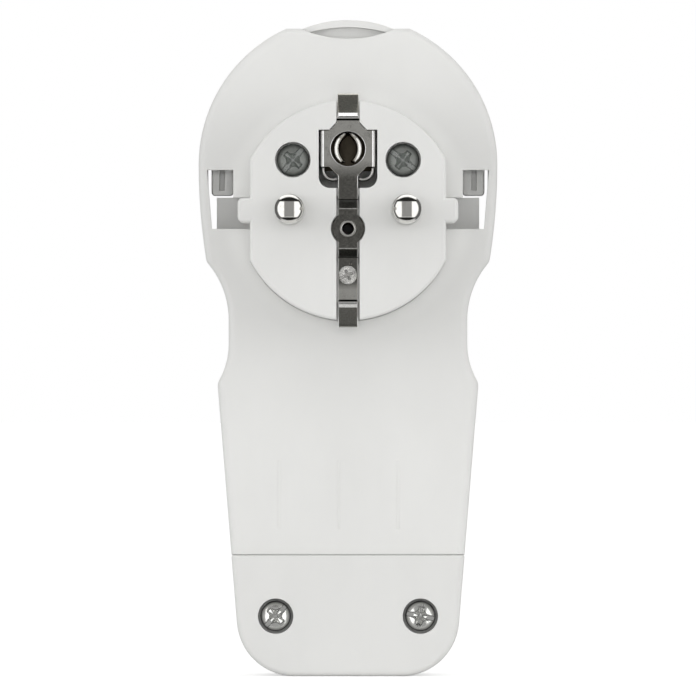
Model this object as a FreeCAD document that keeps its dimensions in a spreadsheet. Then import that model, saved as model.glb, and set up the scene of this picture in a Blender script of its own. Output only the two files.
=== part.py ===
import FreeCAD, Part

import math
import os
from collections import namedtuple
from types import SimpleNamespace

import Sketcher

# Flat mains plug with a fold-out pull handle, in millimetres.
# The origin lies midway between the two live pins, on the face of the contact block.
# The pins point along -Y, the cable leaves along -Z, and depths run along +Y.

# Driving dimensions: name, value and what it measures
SIZES = [
    # Interface to the wall socket
    ("pin_spacing", 19.0, "between the centres of the two pins"),
    ("pin_diameter", 4.8, "round pins and the earth pin alike"),
    ("pin_reach", 19.0, "from the block's face to the pin tips"),
    ("pin_shoulder", 0.3, "the pins are thicker by this inside the block, on each side"),
    ("earth_height", 10.0, "centre of the earth hole above the pins"),
    ("sleeve_clearance", 0.05, "radial, around an earth pin"),
    # Contact block
    ("block_radius", 18.0, "round outline of the block"),
    ("block_half", 16.0, "from the middle to each side flat"),
    ("block_depth", 17.0, "from the block's face to the shell"),
    ("rib_half", 2.0, "half height of each side rib"),
    ("rib_gap", 0.5, "between the end of a rib and the shell"),
    ("rib_corner", 0.9, "rounding of the outer corners of each rib"),
    ("foot_radius", 19.6, "flange of the block inside the shell"),
    ("foot_thickness", 2.4, "thickness of that flange"),
    ("pocket_half", 4.78, "half width of the earth pocket"),
    ("pocket_top", 13.1, "top of the earth pocket above the pins"),
    ("pocket_bottom", 3.6, "bottom of the earth pocket above the pins"),
    ("pocket_depth", 15.0, "depth of the earth pocket"),
    ("pocket_corner", 1.8, "radius of the lower corners of the pocket"),
    ("block_edge", 0.6, "rounding of the block's front edge"),
    ("block_gap", 0.08, "between the block and the shell's opening"),
    # Outline of the body
    ("head_radius", 24.6, "round head"),
    ("head_height", 7.7, "centre of the head above the pins"),
    ("head_flat", 2.2, "cut off the round head by the shell's flat top"),
    ("cheek_inset", 1.3, "the shoulder is narrower than the head by this, on each side"),
    ("shoulder_drop", 8.3, "end of the head below the pins"),
    ("waist_half", 19.65, "half width of the waist"),
    ("waist_start", 17.9, "upper end of the straight waist below the pins"),
    ("waist_end", 21.8, "lower end of the straight waist below the pins"),
    ("hip_half", 21.5, "half width of the hip"),
    ("hip_drop", 28.3, "hip below the pins"),
    ("tail_half", 18.4, "half width near the cable end"),
    ("tail_drop", 66.4, "where that is measured, below the pins"),
    ("tail_end", 76.5, "cable end of the body below the pins"),
    ("tail_corner", 9.5, "radius of the two corners at the cable end"),
    ("hip_edge", 2.0, "rounding of the shoulder and hip corners"),
    # Shell and covers
    ("flange_thickness", 2.0, "plate of the shell round the block"),
    ("neck_wall", 2.0, "walls of the neck and the tail"),
    ("head_wall", 1.4, "side walls of the head"),
    ("part_gap", 0.25, "between the edges of two mouldings"),
    ("parting_depth", 8.5, "from the shell's face to the cable's centre line"),
    ("rim_depth", 14.5, "from the shell's face to its rim"),
    ("body_depth", 18.0, "from the shell's face to the front"),
    ("roof_thickness", 2.5, "front wall of the front cover"),
    ("face_edge", 1.2, "rounding of the shell's face"),
    ("crown_inset", 1.65, "from the outline to the raised front"),
    ("crown_wall", 1.4, "side walls of the raised front"),
    ("crown_edge", 1.8, "rounding of the raised front"),
    ("crown_corner", 1.2, "rounding of the nook between the dome and the shoulder"),
    ("shaft_inset", 1.05, "from the dome's inner side to the shaft over the terminals"),
    ("cover_line", 56.5, "upper end of the clamp cover below the pins"),
    ("cover_raise", 1.8, "the clamp cover stands proud of the shell by this"),
    ("cover_edge", 0.9, "rounding of the clamp cover"),
    ("cover_brow", 0.3, "rounding of its upper edge, next to the neck"),
    ("cover_gap", 0.08, "between the clamp cover's upper edge and the shell"),
    # Finger notch and side windows
    ("notch_half", 7.8, "half width of the finger notch"),
    ("notch_depth", 1.7, "depth of the finger notch"),
    ("window_top", 6.8, "upper edge of each window above the pins"),
    ("window_bottom", 2.9, "lower edge of each window below the pins"),
    ("window_margin", 0.1, "the window reaches past the bow's inner side by this"),
    # Pull handle
    ("handle_gap", 0.6, "between the handle and the shell's side walls"),
    ("handle_width", 3.6, "width of the handle's bow"),
    ("handle_thickness", 5.4, "thickness of the bow along Y"),
    ("handle_setback", 2.0, "the bow lies this far behind the raised front"),
    ("pivot_height", 5.4, "hinge axis above the pins"),
    ("hinge_gap", 0.4, "round the arm's end"),
    ("dome_gap", 0.45, "between the bow and the front cover's dome"),
    ("trunnion_radius", 1.5, "moulded hinge studs"),
    ("trunnion_length", 2.0, "length of those studs"),
    ("bearing_clearance", 0.05, "radial, round the studs"),
    ("tab_half", 7.6, "half width of the finger tab"),
    ("tab_radius", 20.0, "outer arc of the finger tab"),
    ("tab_rise", 1.46, "the finger tab stands above the shell's flat top by this"),
    ("lip_thickness", 1.2, "lip of the tab at its middle"),
    ("lip_radius", 24.3, "inner arc of the lip"),
    ("lip_gap", 0.5, "between the lip and the back of the shell's plate"),
    ("lip_height", 1.2, "the lip stands out of the tab by this"),
    ("channel_width", 0.86, "moulded channel in the back of the bow"),
    ("channel_depth", 1.5, "depth of that channel"),
    ("channel_margin", 0.8, "from the channel's end to the arm's end"),
    ("handle_edge", 0.7, "rounding of the bow's front edges"),
    ("knuckle_corner", 0.6, "rounding of the lower corners of the bow's ends"),
    ("lug_depth", 4.1, "a lug on each end stands out of the bow's back by this"),
    ("lug_rise", 1.8, "upper end of those lugs above the hinge axis"),
    ("lug_inset", 0.2, "the lugs are narrower than the bow by this, on the outside"),
    # Earth clip
    ("strap_half", 1.75, "half width of the strap"),
    ("strap_thickness", 0.8, "sheet of the clip"),
    ("strap_recess", 0.5, "the strap lies this far below the block's face"),
    ("strap_gap", 0.15, "between the strap and its groove"),
    ("strap_step", 1.2, "depth of the stepped middle part"),
    ("step_top", 1.5, "upper bend of the step above the pins"),
    ("step_bottom", 7.8, "lower bend of the step below the pins"),
    ("step_run", 1.2, "height of each slanting stretch"),
    ("spring_start", 2.0, "from the block's outline in to the bend"),
    ("spring_spread", 1.1, "the spring's end stands out of the outline by this"),
    ("spring_ramp", 3.1, "depth over which each spring rises from its bend to its knee"),
    ("spring_knee", 1.0, "outer radius of that knee"),
    ("spring_depth", 13.0, "depth of the spring's end"),
    ("slot_depth", 3.0, "depth of each spring's slot from the block's outline"),
    ("plate_half", 4.35, "half width of the plate round the earth hole"),
    ("plate_rise", 2.95, "half height of that plate"),
    ("taper_half", 3.05, "half width where the plate begins to taper to the strap"),
    ("taper_rise", 1.4, "height of those tapers"),
    ("plate_hole", 2.8, "radius of the hole for the earth pin"),
    ("fold_depth", 2.2, "folded sides of the plate"),
    ("fold_thickness", 0.6, "sheet of those sides"),
    ("bend_radius", 0.9, "outer radius of the springs' bends"),
    ("pad_radius", 2.65, "round pad at the eyelet"),
    ("pad_drop", 3.0, "the eyelet below the pins"),
    ("eyelet_bore", 0.9, "bore of the hollow rivet"),
    ("eyelet_radius", 1.15, "outside of the hollow rivet"),
    ("eyelet_rim", 1.4, "rolled rim of the hollow rivet"),
    ("eyelet_roll", 0.35, "thickness of that rim"),
    ("earth_screw_drop", 10.6, "small screw below the pins"),
    ("earth_screw_head", 1.55, "radius of its head"),
    ("earth_screw_shank", 1.0, "radius of its shank"),
    ("earth_screw_height", 0.45, "height of its head"),
    ("earth_screw_grip", 1.2, "thread of that screw in the earth terminal"),
    ("sleeve_thickness", 0.3, "sheet of the earth receptacle"),
    ("receptacle_base", 0.8, "base plate of the earth receptacle"),
    ("sleeve_slit", 0.8, "half width of the slit between the springs"),
    ("cage_half", 4.2, "half width of the receptacle's side walls"),
    ("cage_curl", 1.75, "radius of the curled lower ends of those walls"),
    ("cage_top", 2.7, "upper end of those walls above the earth hole"),
    ("cage_bend", 3.4, "start of each curl below the earth hole"),
    # Terminals
    ("terminal_size", 7.0, "side of each square terminal head"),
    ("terminal_length", 8.0, "length of each terminal head"),
    ("wire_hole", 1.6, "radius of each wire hole"),
    ("wire_depth", 3.2, "wire hole from the seat of the terminal head"),
    ("terminal_screw_radius", 1.7, "terminal screws"),
    ("terminal_screw_length", 5.2, "length of the terminal screws"),
    ("earth_terminal_drop", 12.6, "centre of the earth terminal below the pins"),
    ("link_half", 3.2, "half width of the earth link"),
    ("link_thickness", 0.8, "thickness of the earth link"),
    # Screws
    ("housing_screw_side", 9.0, "housing screws, from the middle"),
    ("housing_screw_height", 8.2, "housing screws above the pins"),
    ("housing_seat", 5.0, "seat of a housing screw's head below the face"),
    ("clamp_screw_side", 11.9, "clamp screws, from the middle"),
    ("clamp_screw_drop", 66.6, "clamp screws below the pins"),
    ("clamp_seat", 2.4, "seat of a clamp screw's head below the cover's face"),
    ("screw_well", 2.9, "radius of the holes for the heads"),
    ("housing_head", 2.65, "radius of a housing screw's head"),
    ("clamp_head", 2.5, "radius of a clamp screw's head"),
    ("head_rise", 2.1, "height of those heads"),
    ("shank_radius", 1.7, "shanks of those screws"),
    ("shank_clearance", 0.2, "radial, round those shanks"),
    ("insert_radius", 2.5, "brass inserts"),
    ("insert_length", 6.0, "length of the brass inserts"),
    ("thread_clearance", 0.05, "radial, between a screw and its insert"),
    ("screw_spare", 1.0, "a screw's end stands past its insert by this"),
    ("head_side", 0.7, "straight side of those heads"),
    ("post_radius", 3.8, "posts that hold the inserts"),
    # Cable
    ("cable_radius", 4.75, "cable inlet"),
    ("clamp_rib_radius", 4.2, "opening of the clamping ribs"),
    ("clamp_rib_thickness", 1.6, "thickness of the clamping ribs"),
    ("clamp_rib_inset", 5.0, "clamping ribs from the screws' line"),
    # Recesses in the screw heads
    ("recess_half", 0.4, "half width of the cross recess"),
    ("recess_reach", 1.45, "half length of the cross recess"),
    ("recess_depth", 1.1, "depth of the recess"),
    ("small_recess_half", 0.2, "half width of the small screws' slots"),
    ("small_recess_reach", 1.0, "half length of the small cross"),
    ("small_recess_depth", 0.3, "depth of the small recess"),
]

FRONT, SIDE, TOP = "XZ_Plane", "YZ_Plane", "XY_Plane"

Circle = namedtuple("Circle", "x y radius")


class Size:
    """A length of the sheet, or a sum made of them, with the expression that says the same."""

    def __init__(self, number, text):
        self.number = number
        self.text = text

    def __add__(self, other):
        other = as_size(other)
        return Size(self.number + other.number, f"({self.text} + {other.text})")

    def __sub__(self, other):
        other = as_size(other)
        return Size(self.number - other.number, f"({self.text} - {other.text})")

    def __mul__(self, other):
        other = as_size(other)
        return Size(self.number * other.number, f"({self.text} * {other.text})")

    def __truediv__(self, other):
        other = as_size(other)
        return Size(self.number / other.number, f"({self.text} / {other.text})")

    def __neg__(self):
        return as_size(0) - self

    def __radd__(self, other):
        return as_size(other) + self

    def __rsub__(self, other):
        return as_size(other) - self

    def __rmul__(self, other):
        return as_size(other) * self

    def __rtruediv__(self, other):
        return as_size(other) / self


def as_size(value):
    return value if isinstance(value, Size) else Size(float(value), str(float(value)))


def root(size):
    return Size(math.sqrt(size.number), f"sqrt({size.text})")


def side_of(radius, distance):
    """The third side of a right triangle: how far a circle reaches at a distance from its centre."""
    return root(radius * radius - distance * distance)


document = FreeCAD.newDocument("flat_plug")


def write_sheet():
    """The spreadsheet of driving dimensions, and the same names as Size objects."""
    sheet = document.addObject("Spreadsheet::Sheet", "Sizes")
    for row, (name, value, note) in enumerate(SIZES, start=1):
        sheet.set(f"A{row}", name)
        sheet.set(f"B{row}", str(value))
        sheet.set(f"C{row}", note)
        sheet.setAlias(f"B{row}", name)
    document.recompute()
    return SimpleNamespace(**{name: Size(value, f"Sizes.{name}") for name, value, note in SIZES})


s = write_sheet()


def is_zero(value):
    return not isinstance(value, Size) and value == 0


def number(value):
    return as_size(value).number


def bind(item, prop, value):
    item.setExpression(prop, as_size(value).text)


def hold_point(sketch, edge, vertex, x, y):
    """Tie one point of a sketch to its place."""
    for kind, axis, value in (("DistanceX", -2, x), ("DistanceY", -1, y)):
        if is_zero(value):
            sketch.addConstraint(Sketcher.Constraint("PointOnObject", edge, vertex, axis))
        else:
            place = sketch.addConstraint(
                Sketcher.Constraint(kind, -1, 1, edge, vertex, number(value))
            )
            bind(sketch, f"Constraints[{place}]", value)


def hold_radius(sketch, edge, radius):
    place = sketch.addConstraint(Sketcher.Constraint("Radius", edge, number(radius)))
    bind(sketch, f"Constraints[{place}]", radius)


def arc_between(start, end, radius):
    """The shorter arc from start to end, turning left, as sketch geometry."""
    chord = end - start
    middle = (start + end) * 0.5
    left = FreeCAD.Vector(-chord.y, chord.x, 0).normalize()
    centre = middle + left * math.sqrt(max(radius**2 - (chord.Length / 2) ** 2, 0.0))
    first = math.atan2(start.y - centre.y, start.x - centre.x)
    last = math.atan2(end.y - centre.y, end.x - centre.x)
    return Part.ArcOfCircle(Part.Circle(centre, FreeCAD.Vector(0, 0, 1), radius), first, last)


def draw_path(sketch, path):
    """A closed outline. Each corner is (x, y) or (x, y, radius of the arc that arrives there).

    A positive radius turns left and a negative one turns right.
    """
    points = [FreeCAD.Vector(number(corner[0]), number(corner[1]), 0) for corner in path]
    edges = []
    for place, start in enumerate(points):
        following = (place + 1) % len(path)
        end = points[following]
        radius = path[following][2] if len(path[following]) > 2 else None
        if radius is None:
            edge = sketch.addGeometry(Part.LineSegment(start, end), False)
            edges.append((edge, 1, 2, None))
        elif number(radius) > 0:
            edge = sketch.addGeometry(arc_between(start, end, number(radius)), False)
            edges.append((edge, 1, 2, radius))
        else:
            edge = sketch.addGeometry(arc_between(end, start, -number(radius)), False)
            edges.append((edge, 2, 1, -radius))
    for place, (edge, start_vertex, end_vertex, radius) in enumerate(edges):
        next_edge, next_vertex = edges[(place + 1) % len(edges)][:2]
        sketch.addConstraint(
            Sketcher.Constraint("Coincident", edge, end_vertex, next_edge, next_vertex)
        )
        hold_point(sketch, edge, start_vertex, path[place][0], path[place][1])
        if radius is not None:
            hold_radius(sketch, edge, radius)


def draw_circle(sketch, circle):
    centre = FreeCAD.Vector(number(circle.x), number(circle.y), 0)
    ring = Part.Circle(centre, FreeCAD.Vector(0, 0, 1), number(circle.radius))
    edge = sketch.addGeometry(ring, False)
    hold_point(sketch, edge, 3, circle.x, circle.y)
    hold_radius(sketch, edge, circle.radius)


def box_path(x_low, x_high, y_low, y_high):
    return [(x_low, y_low), (x_high, y_low), (x_high, y_high), (x_low, y_high)]


def both_sides(right, top_arc=None, bottom_arc=None):
    """A symmetric outline from its right half, which runs from the bottom to the top."""
    left = []
    for place in range(len(right) - 1, -1, -1):
        x, y = right[place][:2]
        arrives = None
        if place < len(right) - 1:
            following = right[place + 1]
            arrives = following[2] if len(following) > 2 else None
        elif top_arc is not None:
            arrives = top_arc
        if is_zero(x):
            continue
        left.append((-x, y) if arrives is None else (-x, y, arrives))
    first = right[0][:2] if bottom_arc is None else right[0][:2] + (bottom_arc,)
    return [first] + list(right[1:]) + left


def mirrored(path):
    """The mirror image of an outline, drawn the same way round."""
    left = []
    for place in range(len(path) - 1, -1, -1):
        following = path[(place + 1) % len(path)]
        left.append((-path[place][0], path[place][1], *following[2:]))
    return left


class Piece:
    """One body of the document, with short names for the features used here.

    A feature's start and end are depths along the axis that its plane faces.
    """

    def __init__(self, label):
        self.label = label
        self.body = document.addObject("PartDesign::Body", label)
        self.body.Label = label

    def sketch(self, name, plane, level, shapes):
        sketch = self.body.newObject("Sketcher::SketchObject", f"{self.label}_{name}_sketch")
        origin = self.body.Origin.OriginFeatures
        support = next(item for item in origin if item.Role == plane)
        sketch.AttachmentSupport = [(support, "")]
        sketch.MapMode = "FlatFace"
        if not is_zero(level):
            offset = -level if plane == FRONT else level
            bind(sketch, "AttachmentOffset.Base.z", offset)
        for shape in shapes:
            if isinstance(shape, Circle):
                draw_circle(sketch, shape)
            else:
                draw_path(sketch, shape)
        return sketch

    def extrude(self, kind, name, plane, start, end, shapes):
        sketch = self.sketch(name, plane, start, shapes)
        feature = self.body.newObject(kind, f"{self.label}_{name}")
        feature.Profile = sketch
        bind(feature, "Length", end - start)
        return feature

    def grow(self, name, plane, start, end, shapes):
        """Add material from one depth to another."""
        feature = self.extrude("PartDesign::Pad", name, plane, start, end, shapes)
        feature.Reversed = plane == FRONT
        self.finish(feature)

    def carve(self, name, plane, start, end, shapes):
        """Take material away from one depth to another."""
        before = self.body.Shape.Volume
        feature = self.extrude("PartDesign::Pocket", name, plane, start, end, shapes)
        feature.Reversed = plane != FRONT
        self.finish(feature)
        if self.body.Shape.Volume > before - 1e-6:
            raise ValueError(f"{feature.Name} cuts nothing")

    def spin(self, name, path):
        """Turn a half section, drawn as radius and depth, about the Y axis."""
        sketch = self.sketch(name, TOP, 0, [path])
        feature = self.body.newObject("PartDesign::Revolution", f"{self.label}_{name}")
        feature.Profile = sketch
        feature.ReferenceAxis = (sketch, ["V_Axis"])
        feature.Angle = 360
        self.finish(feature)

    def soften(self, name, radius, chosen):
        """Round the edges that the test picks."""
        base = self.body.Tip
        names = [
            f"Edge{place}"
            for place, edge in enumerate(base.Shape.Edges, start=1)
            if chosen(edge)
        ]
        if not names:
            raise ValueError(f"{self.label}: no edge for {name}")
        feature = self.body.newObject("PartDesign::Fillet", f"{self.label}_{name}")
        feature.Base = (base, names)
        bind(feature, "Radius", radius)
        self.finish(feature)

    def finish(self, feature):
        document.recompute()
        self.body.Tip = feature
        document.recompute()
        check(feature)

    def place(self, x=0, y=0, z=0):
        for axis, value in zip("xyz", (x, y, z)):
            if not is_zero(value):
                bind(self.body, f"Placement.Base.{axis}", value)
        document.recompute()


def check(item):
    bad = {"Invalid", "Error"} & set(item.State)
    if bad or item.Shape.isNull() or not item.Shape.isValid():
        raise ValueError(f"{item.Name} failed: {item.State}")


def near(one, other, slack=0.02):
    return abs(one - other) < slack


def at_depth(level):
    """Picks edges that lie flat at one depth along Y."""
    y = number(level)

    def chosen(edge):
        box = edge.BoundBox
        return near(box.YMin, y) and near(box.YMax, y)

    return chosen


def apart_from(height, picks):
    """Leaves out the edges that lie flat at one height."""
    z = number(height)

    def chosen(edge):
        box = edge.BoundBox
        return picks(edge) and not (near(box.ZMin, z) and near(box.ZMax, z))

    return chosen


def along_depth(places):
    """Picks edges parallel to Y that pass through the given points of the XZ plane."""
    spots = [(number(x), number(z)) for x, z in places]

    def chosen(edge):
        box = edge.BoundBox
        straight = near(box.XMin, box.XMax) and near(box.ZMin, box.ZMax)
        return straight and any(near(box.XMin, x) and near(box.ZMin, z) for x, z in spots)

    return chosen


def along_width(places):
    """Picks edges parallel to X that pass through the given points of the YZ plane."""
    spots = [(number(y), number(z)) for y, z in places]

    def chosen(edge):
        box = edge.BoundBox
        straight = near(box.YMin, box.YMax) and near(box.ZMin, box.ZMax)
        return straight and any(near(box.YMin, y) and near(box.ZMin, z) for y, z in spots)

    return chosen


def mirrored_pair(label, body):
    """The group of a piece and its mirror image across the YZ plane."""
    twin = document.addObject("Part::Mirroring", f"{label}_twin")
    twin.Source = body
    twin.Normal = FreeCAD.Vector(1, 0, 0)
    group = document.addObject("Part::Compound", label)
    group.Label = label
    group.Links = [body, twin]
    document.recompute()
    check(group)
    return group


# Depths along Y, measured from the block's face
shell_face = s.block_depth
shell_inside = shell_face + s.flange_thickness
foot_back = shell_inside + s.foot_thickness
parting = shell_face + s.parting_depth
rim = shell_face + s.rim_depth
front = shell_face + s.body_depth
roof = front - s.roof_thickness
cover_face = shell_face - s.cover_raise
handle_front = front - s.handle_setback
handle_back = handle_front - s.handle_thickness
pivot_depth = handle_back + s.handle_thickness / 2
skirt = foot_back + s.part_gap
strap_front = s.strap_recess
strap_back = strap_front + s.strap_thickness
link_back = foot_back + s.link_thickness
housing_insert_end = foot_back + s.insert_length
clamp_insert_end = parting + s.insert_length

# Outline of the head
head_top = s.head_height + s.head_radius - s.head_flat
shoulder_half = s.head_radius - s.cheek_inset
tab_top = head_top + s.tab_rise

# Radii and heights of the handle and the dome that it lies round
bow_outer = s.head_radius - s.head_wall - s.handle_gap
bow_inner = bow_outer - s.handle_width
dome_radius = bow_inner - s.dome_gap
knuckle_radius = s.handle_thickness / 2
hinge_shoulder = s.pivot_height - knuckle_radius - s.hinge_gap

# The side of the tail slants in by this much for each millimetre down
tail_slope = (s.hip_half - s.tail_half) / (s.tail_drop - s.hip_drop)


def tangent_radius(across, along):
    """Radius of the arc that leaves a straight side smoothly and ends across and along from there."""
    return (across * across + along * along) / (2 * across)


shoulder_bend = tangent_radius(shoulder_half - s.waist_half, s.waist_start - s.shoulder_drop)
hip_bend = tangent_radius(s.hip_half - s.waist_half, s.hip_drop - s.waist_end)
cheek_bend = tangent_radius(s.cheek_inset, s.head_height + s.shoulder_drop)


def tail_half_at(drop, inset=0):
    """Half width of the tail at a distance below the pins."""
    return s.hip_half - inset - tail_slope * (drop - s.hip_drop)


def tail_corner_path(inset):
    """The rounded corner at the cable end and the point where the slanting side begins."""
    radius = s.tail_corner - inset
    lean = 1 / root(1 + tail_slope * tail_slope)
    centre_drop = s.tail_end - inset - radius
    centre_x = tail_half_at(centre_drop, inset) - radius / lean
    return [
        (centre_x, -(s.tail_end - inset)),
        (centre_x + radius * lean, -(centre_drop + radius * tail_slope * lean), radius),
    ]


def neck_path(inset):
    """The side from the hip up to the shoulder."""
    return [
        (s.hip_half - inset, -s.hip_drop),
        (s.waist_half - inset, -s.waist_end, -hip_bend),
        (s.waist_half - inset, -s.waist_start),
        (shoulder_half - inset, -s.shoulder_drop, -shoulder_bend),
    ]


def head_path(inset):
    """The side of the head from above the shoulder to the flat top."""
    top = head_top - inset
    return [
        (s.head_radius - inset, s.head_height, cheek_bend),
        (side_of(s.head_radius - inset, top - s.head_height), top, s.head_radius - inset),
    ]


def both_ways(x, z):
    """A point of the XZ plane and its mirror image."""
    return [(x, z), (-x, z)]


def outline_corners():
    """The corners of the outline at the shoulder and the hip."""
    return both_ways(shoulder_half, -s.shoulder_drop) + both_ways(s.hip_half, -s.hip_drop)


def flatted_disc(radius, half):
    """A round outline with a flat on each side."""
    flat_end = side_of(radius, half)
    right = [(0, -radius), (half, -flat_end, radius), (half, flat_end), (0, radius, radius)]
    return both_sides(right, bottom_arc=radius)


def window_path():
    """The L-shaped window beside the block, with its slanting outer side."""
    outer_top = s.head_radius - s.head_wall
    outer_low = shoulder_half - s.head_wall + s.part_gap * 2
    inner_low = s.block_half - s.part_gap
    step = s.rib_half + s.part_gap
    return [
        (inner_low, -s.window_bottom),
        (outer_low, -s.window_bottom),
        (outer_top, s.window_top),
        (bow_inner - s.window_margin, s.window_top),
        (bow_inner - s.window_margin, step),
        (inner_low, step),
    ]


def make_rear_shell():
    """The moulded shell: plate round the block, neck walls and the higher walls of the head."""
    piece = Piece("rear_shell")
    low = (tail_half_at(s.cover_line), -s.cover_line)
    shoulder = (shoulder_half, -s.shoulder_drop)
    piece.grow(
        "tray", FRONT, shell_face, parting,
        [both_sides([low, *neck_path(0), *head_path(0)])],
    )
    piece.soften("corners", s.hip_edge, along_depth(outline_corners()))
    piece.soften("face_edge", s.face_edge, apart_from(-s.cover_line, at_depth(shell_face)))
    piece.grow("head_wall", FRONT, parting, rim, [both_sides([shoulder, *head_path(0)])])
    past_end = s.cover_line + s.neck_wall
    low = (tail_half_at(past_end, s.neck_wall), -past_end)
    piece.carve(
        "neck_cavity", FRONT, shell_inside, parting,
        [both_sides([low, *neck_path(s.neck_wall)])],
    )
    inner_shoulder = (shoulder_half - s.head_wall, -s.shoulder_drop)
    piece.carve(
        "head_cavity", FRONT, shell_inside, rim,
        [both_sides([inner_shoulder, *head_path(s.head_wall)])],
    )
    bow_room = Circle(0, s.head_height, s.head_radius - s.head_wall)
    piece.carve("bow_room", FRONT, handle_back - s.hinge_gap, rim, [bow_room])
    gate = s.tab_half + s.handle_gap
    piece.carve(
        "tab_gate", FRONT, shell_inside, rim,
        [box_path(-gate, gate, s.head_height, tab_top)],
    )
    notch_radius = tangent_radius(s.notch_depth, s.notch_half)
    piece.carve(
        "finger_notch", FRONT, shell_face, shell_inside,
        [Circle(0, head_top - s.notch_depth + notch_radius, notch_radius)],
    )
    piece.carve(
        "block_opening", FRONT, shell_face, shell_inside,
        [flatted_disc(s.block_radius + s.block_gap, s.block_half + s.block_gap)],
    )
    window = window_path()
    piece.carve("right_window", FRONT, shell_face, shell_inside, [window])
    piece.carve("left_window", FRONT, shell_face, shell_inside, [mirrored(window)])
    return piece.body


def make_contact_block():
    """The round block that carries the pins and the earth clip, with its flange inside the shell."""
    piece = Piece("contact_block")
    piece.grow("disc", FRONT, 0, shell_inside, [flatted_disc(s.block_radius, s.block_half)])
    piece.grow(
        "ribs", FRONT, 0, shell_face - s.rib_gap,
        [box_path(-s.block_radius, s.block_radius, -s.rib_half, s.rib_half)],
    )
    rib_ends = both_ways(s.block_radius, s.rib_half) + both_ways(s.block_radius, -s.rib_half)
    piece.soften("rib_corners", s.rib_corner, along_depth(rib_ends))
    piece.soften("front_edge", s.block_edge, at_depth(0))
    piece.grow("foot", FRONT, shell_inside, foot_back, [flatted_disc(s.foot_radius, s.block_half)])
    pocket = box_path(-s.pocket_half, s.pocket_half, s.pocket_bottom, s.pocket_top)
    piece.carve("earth_pocket", FRONT, 0, s.pocket_depth, [pocket])
    piece.soften(
        "pocket_corners", s.pocket_corner,
        along_depth(both_ways(s.pocket_half, s.pocket_bottom)),
    )
    groove_half = s.strap_half + s.strap_gap
    slot_floor = s.block_radius - s.slot_depth
    past_block = s.block_radius + s.spring_spread
    piece.carve(
        "strap_groove", FRONT, 0, strap_back + s.strap_gap,
        [box_path(-groove_half, groove_half, -slot_floor - s.strap_gap, slot_floor + s.strap_gap)],
    )
    taper_low = s.earth_height + s.plate_rise
    taper = [(s.taper_half + s.strap_gap, taper_low), (groove_half, taper_low + s.taper_rise)]
    piece.carve("taper_groove", FRONT, 0, strap_back + s.strap_gap, [both_sides(taper)])
    stepped = strap_back + s.strap_step + s.strap_gap
    groove_top = s.step_top + s.strap_thickness
    groove_bottom = -(s.step_bottom + s.strap_thickness)
    piece.carve(
        "step_groove", FRONT, 0, stepped,
        [box_path(-groove_half, groove_half, groove_bottom, groove_top)],
    )
    piece.carve("pad_recess", FRONT, 0, stepped, [Circle(0, -s.pad_drop, s.pad_radius + s.strap_gap)])
    for name, low, high in (
        ("upper_slot", slot_floor, past_block),
        ("lower_slot", -past_block, -slot_floor),
    ):
        piece.carve(
            name, FRONT, 0, s.block_depth, [box_path(-groove_half, groove_half, low, high)]
        )
    pin_hole = s.pin_diameter / 2 + s.pin_shoulder + s.thread_clearance
    screw_hole = s.shank_radius + s.shank_clearance
    screw_spots = both_ways(s.housing_screw_side, s.housing_screw_height)
    piece.carve(
        "pin_holes", FRONT, 0, foot_back,
        [Circle(x, z, pin_hole) for x, z in both_ways(s.pin_spacing / 2, 0)],
    )
    piece.carve(
        "screw_holes", FRONT, 0, foot_back,
        [Circle(x, z, screw_hole) for x, z in screw_spots],
    )
    piece.carve(
        "screw_wells", FRONT, 0, s.housing_seat,
        [Circle(x, z, s.screw_well) for x, z in screw_spots],
    )
    piece.carve(
        "earth_holes", FRONT, 0, foot_back,
        [
            Circle(0, -s.pad_drop, s.eyelet_radius + s.thread_clearance),
            Circle(0, -s.earth_screw_drop, s.earth_screw_shank + s.thread_clearance),
        ],
    )
    return piece.body


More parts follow.
